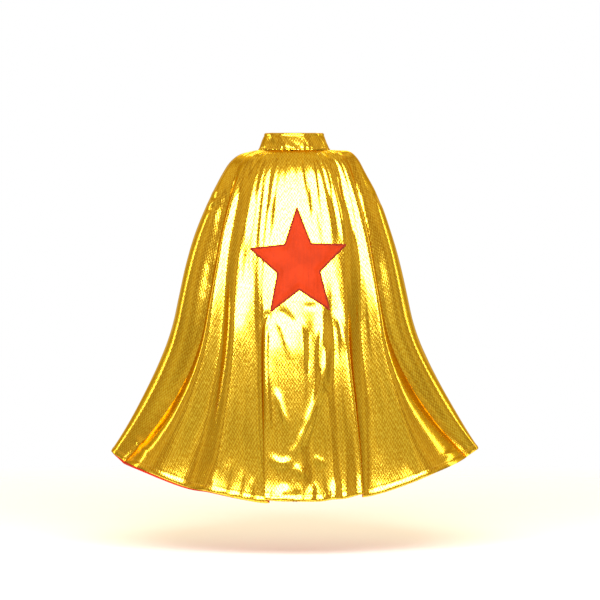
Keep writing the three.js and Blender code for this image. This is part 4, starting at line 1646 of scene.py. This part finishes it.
@dataclass
class Studio:
    """The pale floor, the soft lights, and the camera behind the wearer."""

    middle: tuple[float, float, float] = (0.0118, -0.12, -0.2955)
    shows: float = 1.182
    distance: float = 8.0
    elevation_deg: float = 2.0
    floor_z: float = -0.80
    floor_radius: float = 2.4
    plain_radius: float = 0.9
    lights: tuple[Softbox, ...] = (
        Softbox("front_softbox", 0, 30, 3.2, 2.9, 1.05, 16.0),
        Softbox("left_strip", -112, 10, 3.0, 0.5, 1.8, 3.0),
        Softbox("right_strip", 112, 10, 3.0, 0.5, 1.8, 3.0),
        Softbox("far_softbox", 180, 35, 3.2, 2.0, 1.0, 2.5),
    )

    def camera(self) -> None:
        """A long lens behind the wearer, a little above the middle of the cape."""
        data = bpy.data.cameras.new("camera")
        data.sensor_width = 36.0
        data.lens = data.sensor_width * self.distance / self.shows
        data.clip_end = 100.0
        camera = bpy.data.objects.new("camera", data)
        lift = math.radians(self.elevation_deg)
        x, y, z = self.middle
        camera.location = (x, y - self.distance * math.cos(lift), z + self.distance * math.sin(lift))
        camera.rotation_euler = (math.pi / 2 - lift, 0.0, 0.0)
        bpy.context.scene.collection.objects.link(camera)
        bpy.context.scene.camera = camera

    def world(self) -> None:
        """White behind the cape, and warm light from all round, in bands that the foil mirrors."""
        world = bpy.data.worlds.new("studio")
        bpy.context.scene.world = world
        nodes = Nodes(world)
        where = nodes.make("ShaderNodeTexCoord", None, None, "Generated")
        height = nodes.make("ShaderNodeSeparateXYZ", None, {0: where}, output=2)
        shade = nodes.make("ShaderNodeValToRGB", {"stops": (
            (0.0, rgba(0.68, 0.62, 0.44)), (0.42, rgba(0.66, 0.60, 0.38)), (0.55, rgba(0.68, 0.60, 0.34)),
            (0.75, rgba(0.78, 0.60, 0.30)), (1.0, rgba(0.82, 0.64, 0.32)))}, {0: (height * 0.5 + 0.5).held()})
        aside = nodes.make("ShaderNodeSeparateXYZ", None, {0: where}, output=0).size()
        bands = nodes.make("ShaderNodeValToRGB", {"stops": (
            (0.0, rgba(1.0, 1.0, 1.0)), (0.2, rgba(0.78, 0.74, 0.66)), (0.38, rgba(1.12, 1.12, 1.1)),
            (0.6, rgba(0.62, 0.52, 0.36)), (0.78, rgba(1.0, 0.98, 0.9)),
            (1.0, rgba(0.62, 0.54, 0.4)))}, {0: aside})
        shade = nodes.colour_mix(1.0, shade, bands, "MULTIPLY")
        soft = nodes.make("ShaderNodeBackground", None, {"Color": shade, "Strength": 1.05})
        white = nodes.make("ShaderNodeBackground", None, {"Color": rgba(1.0, 1.0, 1.0), "Strength": 1.0})
        straight = nodes.make("ShaderNodeLightPath", None, None, "Is Camera Ray")
        both = nodes.make("ShaderNodeMixShader", None, {0: straight, 1: soft, 2: white})
        nodes.make("ShaderNodeOutputWorld", None, {"Surface": both})

    def floor(self) -> None:
        """A pale round floor that fades away at its rim."""
        turn = np.linspace(0, 2 * np.pi, 97)[:-1]
        ring = np.stack([np.cos(turn), np.sin(turn), 0 * turn], -1) * self.floor_radius
        mesh = bpy.data.meshes.new("floor")
        mesh.from_pydata([tuple(p) for p in ring + [0, self.middle[1], self.floor_z]], [], [tuple(range(96))])
        material = bpy.data.materials.new("pale_floor")
        nodes = Nodes(material)
        where = nodes.make("ShaderNodeTexCoord", None, None, "Object")
        flat = nodes.make(
            "ShaderNodeMapping", None,
            {"Vector": where, "Location": (0, -self.middle[1], 0), "Scale": (1, 1, 0)})
        gap = nodes.make("ShaderNodeVectorMath", {"operation": "LENGTH"}, {0: flat}, "Value")
        fade = ((gap - self.plain_radius) * (1 / (self.floor_radius - self.plain_radius))).held()
        grain = nodes.noise(where, 60.0, 2.0)
        tone = nodes.colour_mix(grain, rgba(0.90, 0.90, 0.90), rgba(0.94, 0.94, 0.94))
        pale = nodes.make("ShaderNodeBsdfPrincipled", None, {
            "Base Color": tone, "Roughness": 0.9, "Emission Color": rgba(1, 1, 1), "Emission Strength": 0.22})
        clear = nodes.make("ShaderNodeBsdfTransparent")
        both = nodes.make("ShaderNodeMixShader", None, {0: fade, 1: pale, 2: clear})
        nodes.make("ShaderNodeOutputMaterial", None, {"Surface": both})
        mesh.materials.append(material)
        floor = bpy.data.objects.new("floor", mesh)
        bpy.context.scene.collection.objects.link(floor)

    def build(self) -> None:
        """Makes the studio."""
        bpy.context.scene.view_settings.view_transform = "Standard"
        self.camera()
        self.world()
        self.floor()
        for light in self.lights:
            light.place(self.middle)


# ---- The whole cape ---------------------------------------------------------------------------------------


def corners(box: tuple[Sequence[float], Sequence[float]]) -> list[list[float]]:
    """A box's lowest and highest corners as plain lists."""
    return [[float(value) for value in corner] for corner in box]


def main() -> None:
    """Builds the cape and its studio in order."""
    logging.basicConfig(level=logging.INFO, format="%(name)s: %(message)s")
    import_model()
    Studio().build()
    form = CapeForm()
    left, right, last = form.left_seam, form.right_seam, form.last
    collar = Collar(form, "back")
    closure = Closure(form, "closure_tab", collar)
    front = Cut(0.42, 0.66, Held.GATHERED, ("collar_outer",), area=0.19)
    back = Cut(0.86, 0.74, Held.GATHERED, ("collar_outer",), area=0.355)
    parts: tuple[SubAssembly, ...] = (
        Panel(form, "back", "back", left, right, back, back, 12, (False, False)),
        Panel(form, "left_front", "left_front", 0, left, front, front, 18, (True, False), swings=True),
        Panel(form, "right_front", "right_front", right, last, front, front, 18, (False, True), swings=True),
        collar, closure, HookPad(form, "back", closure), Star(form, "back"), HangerLoop(form, "hanger_loop"),
        Tacks(form, "back"), CareLabel(form, "care_label"),
    )
    for part in parts:
        LOG.info("building %s on %s", type(part).__name__, part.body)
        part.build()


if __name__ == "__main__":
    main()
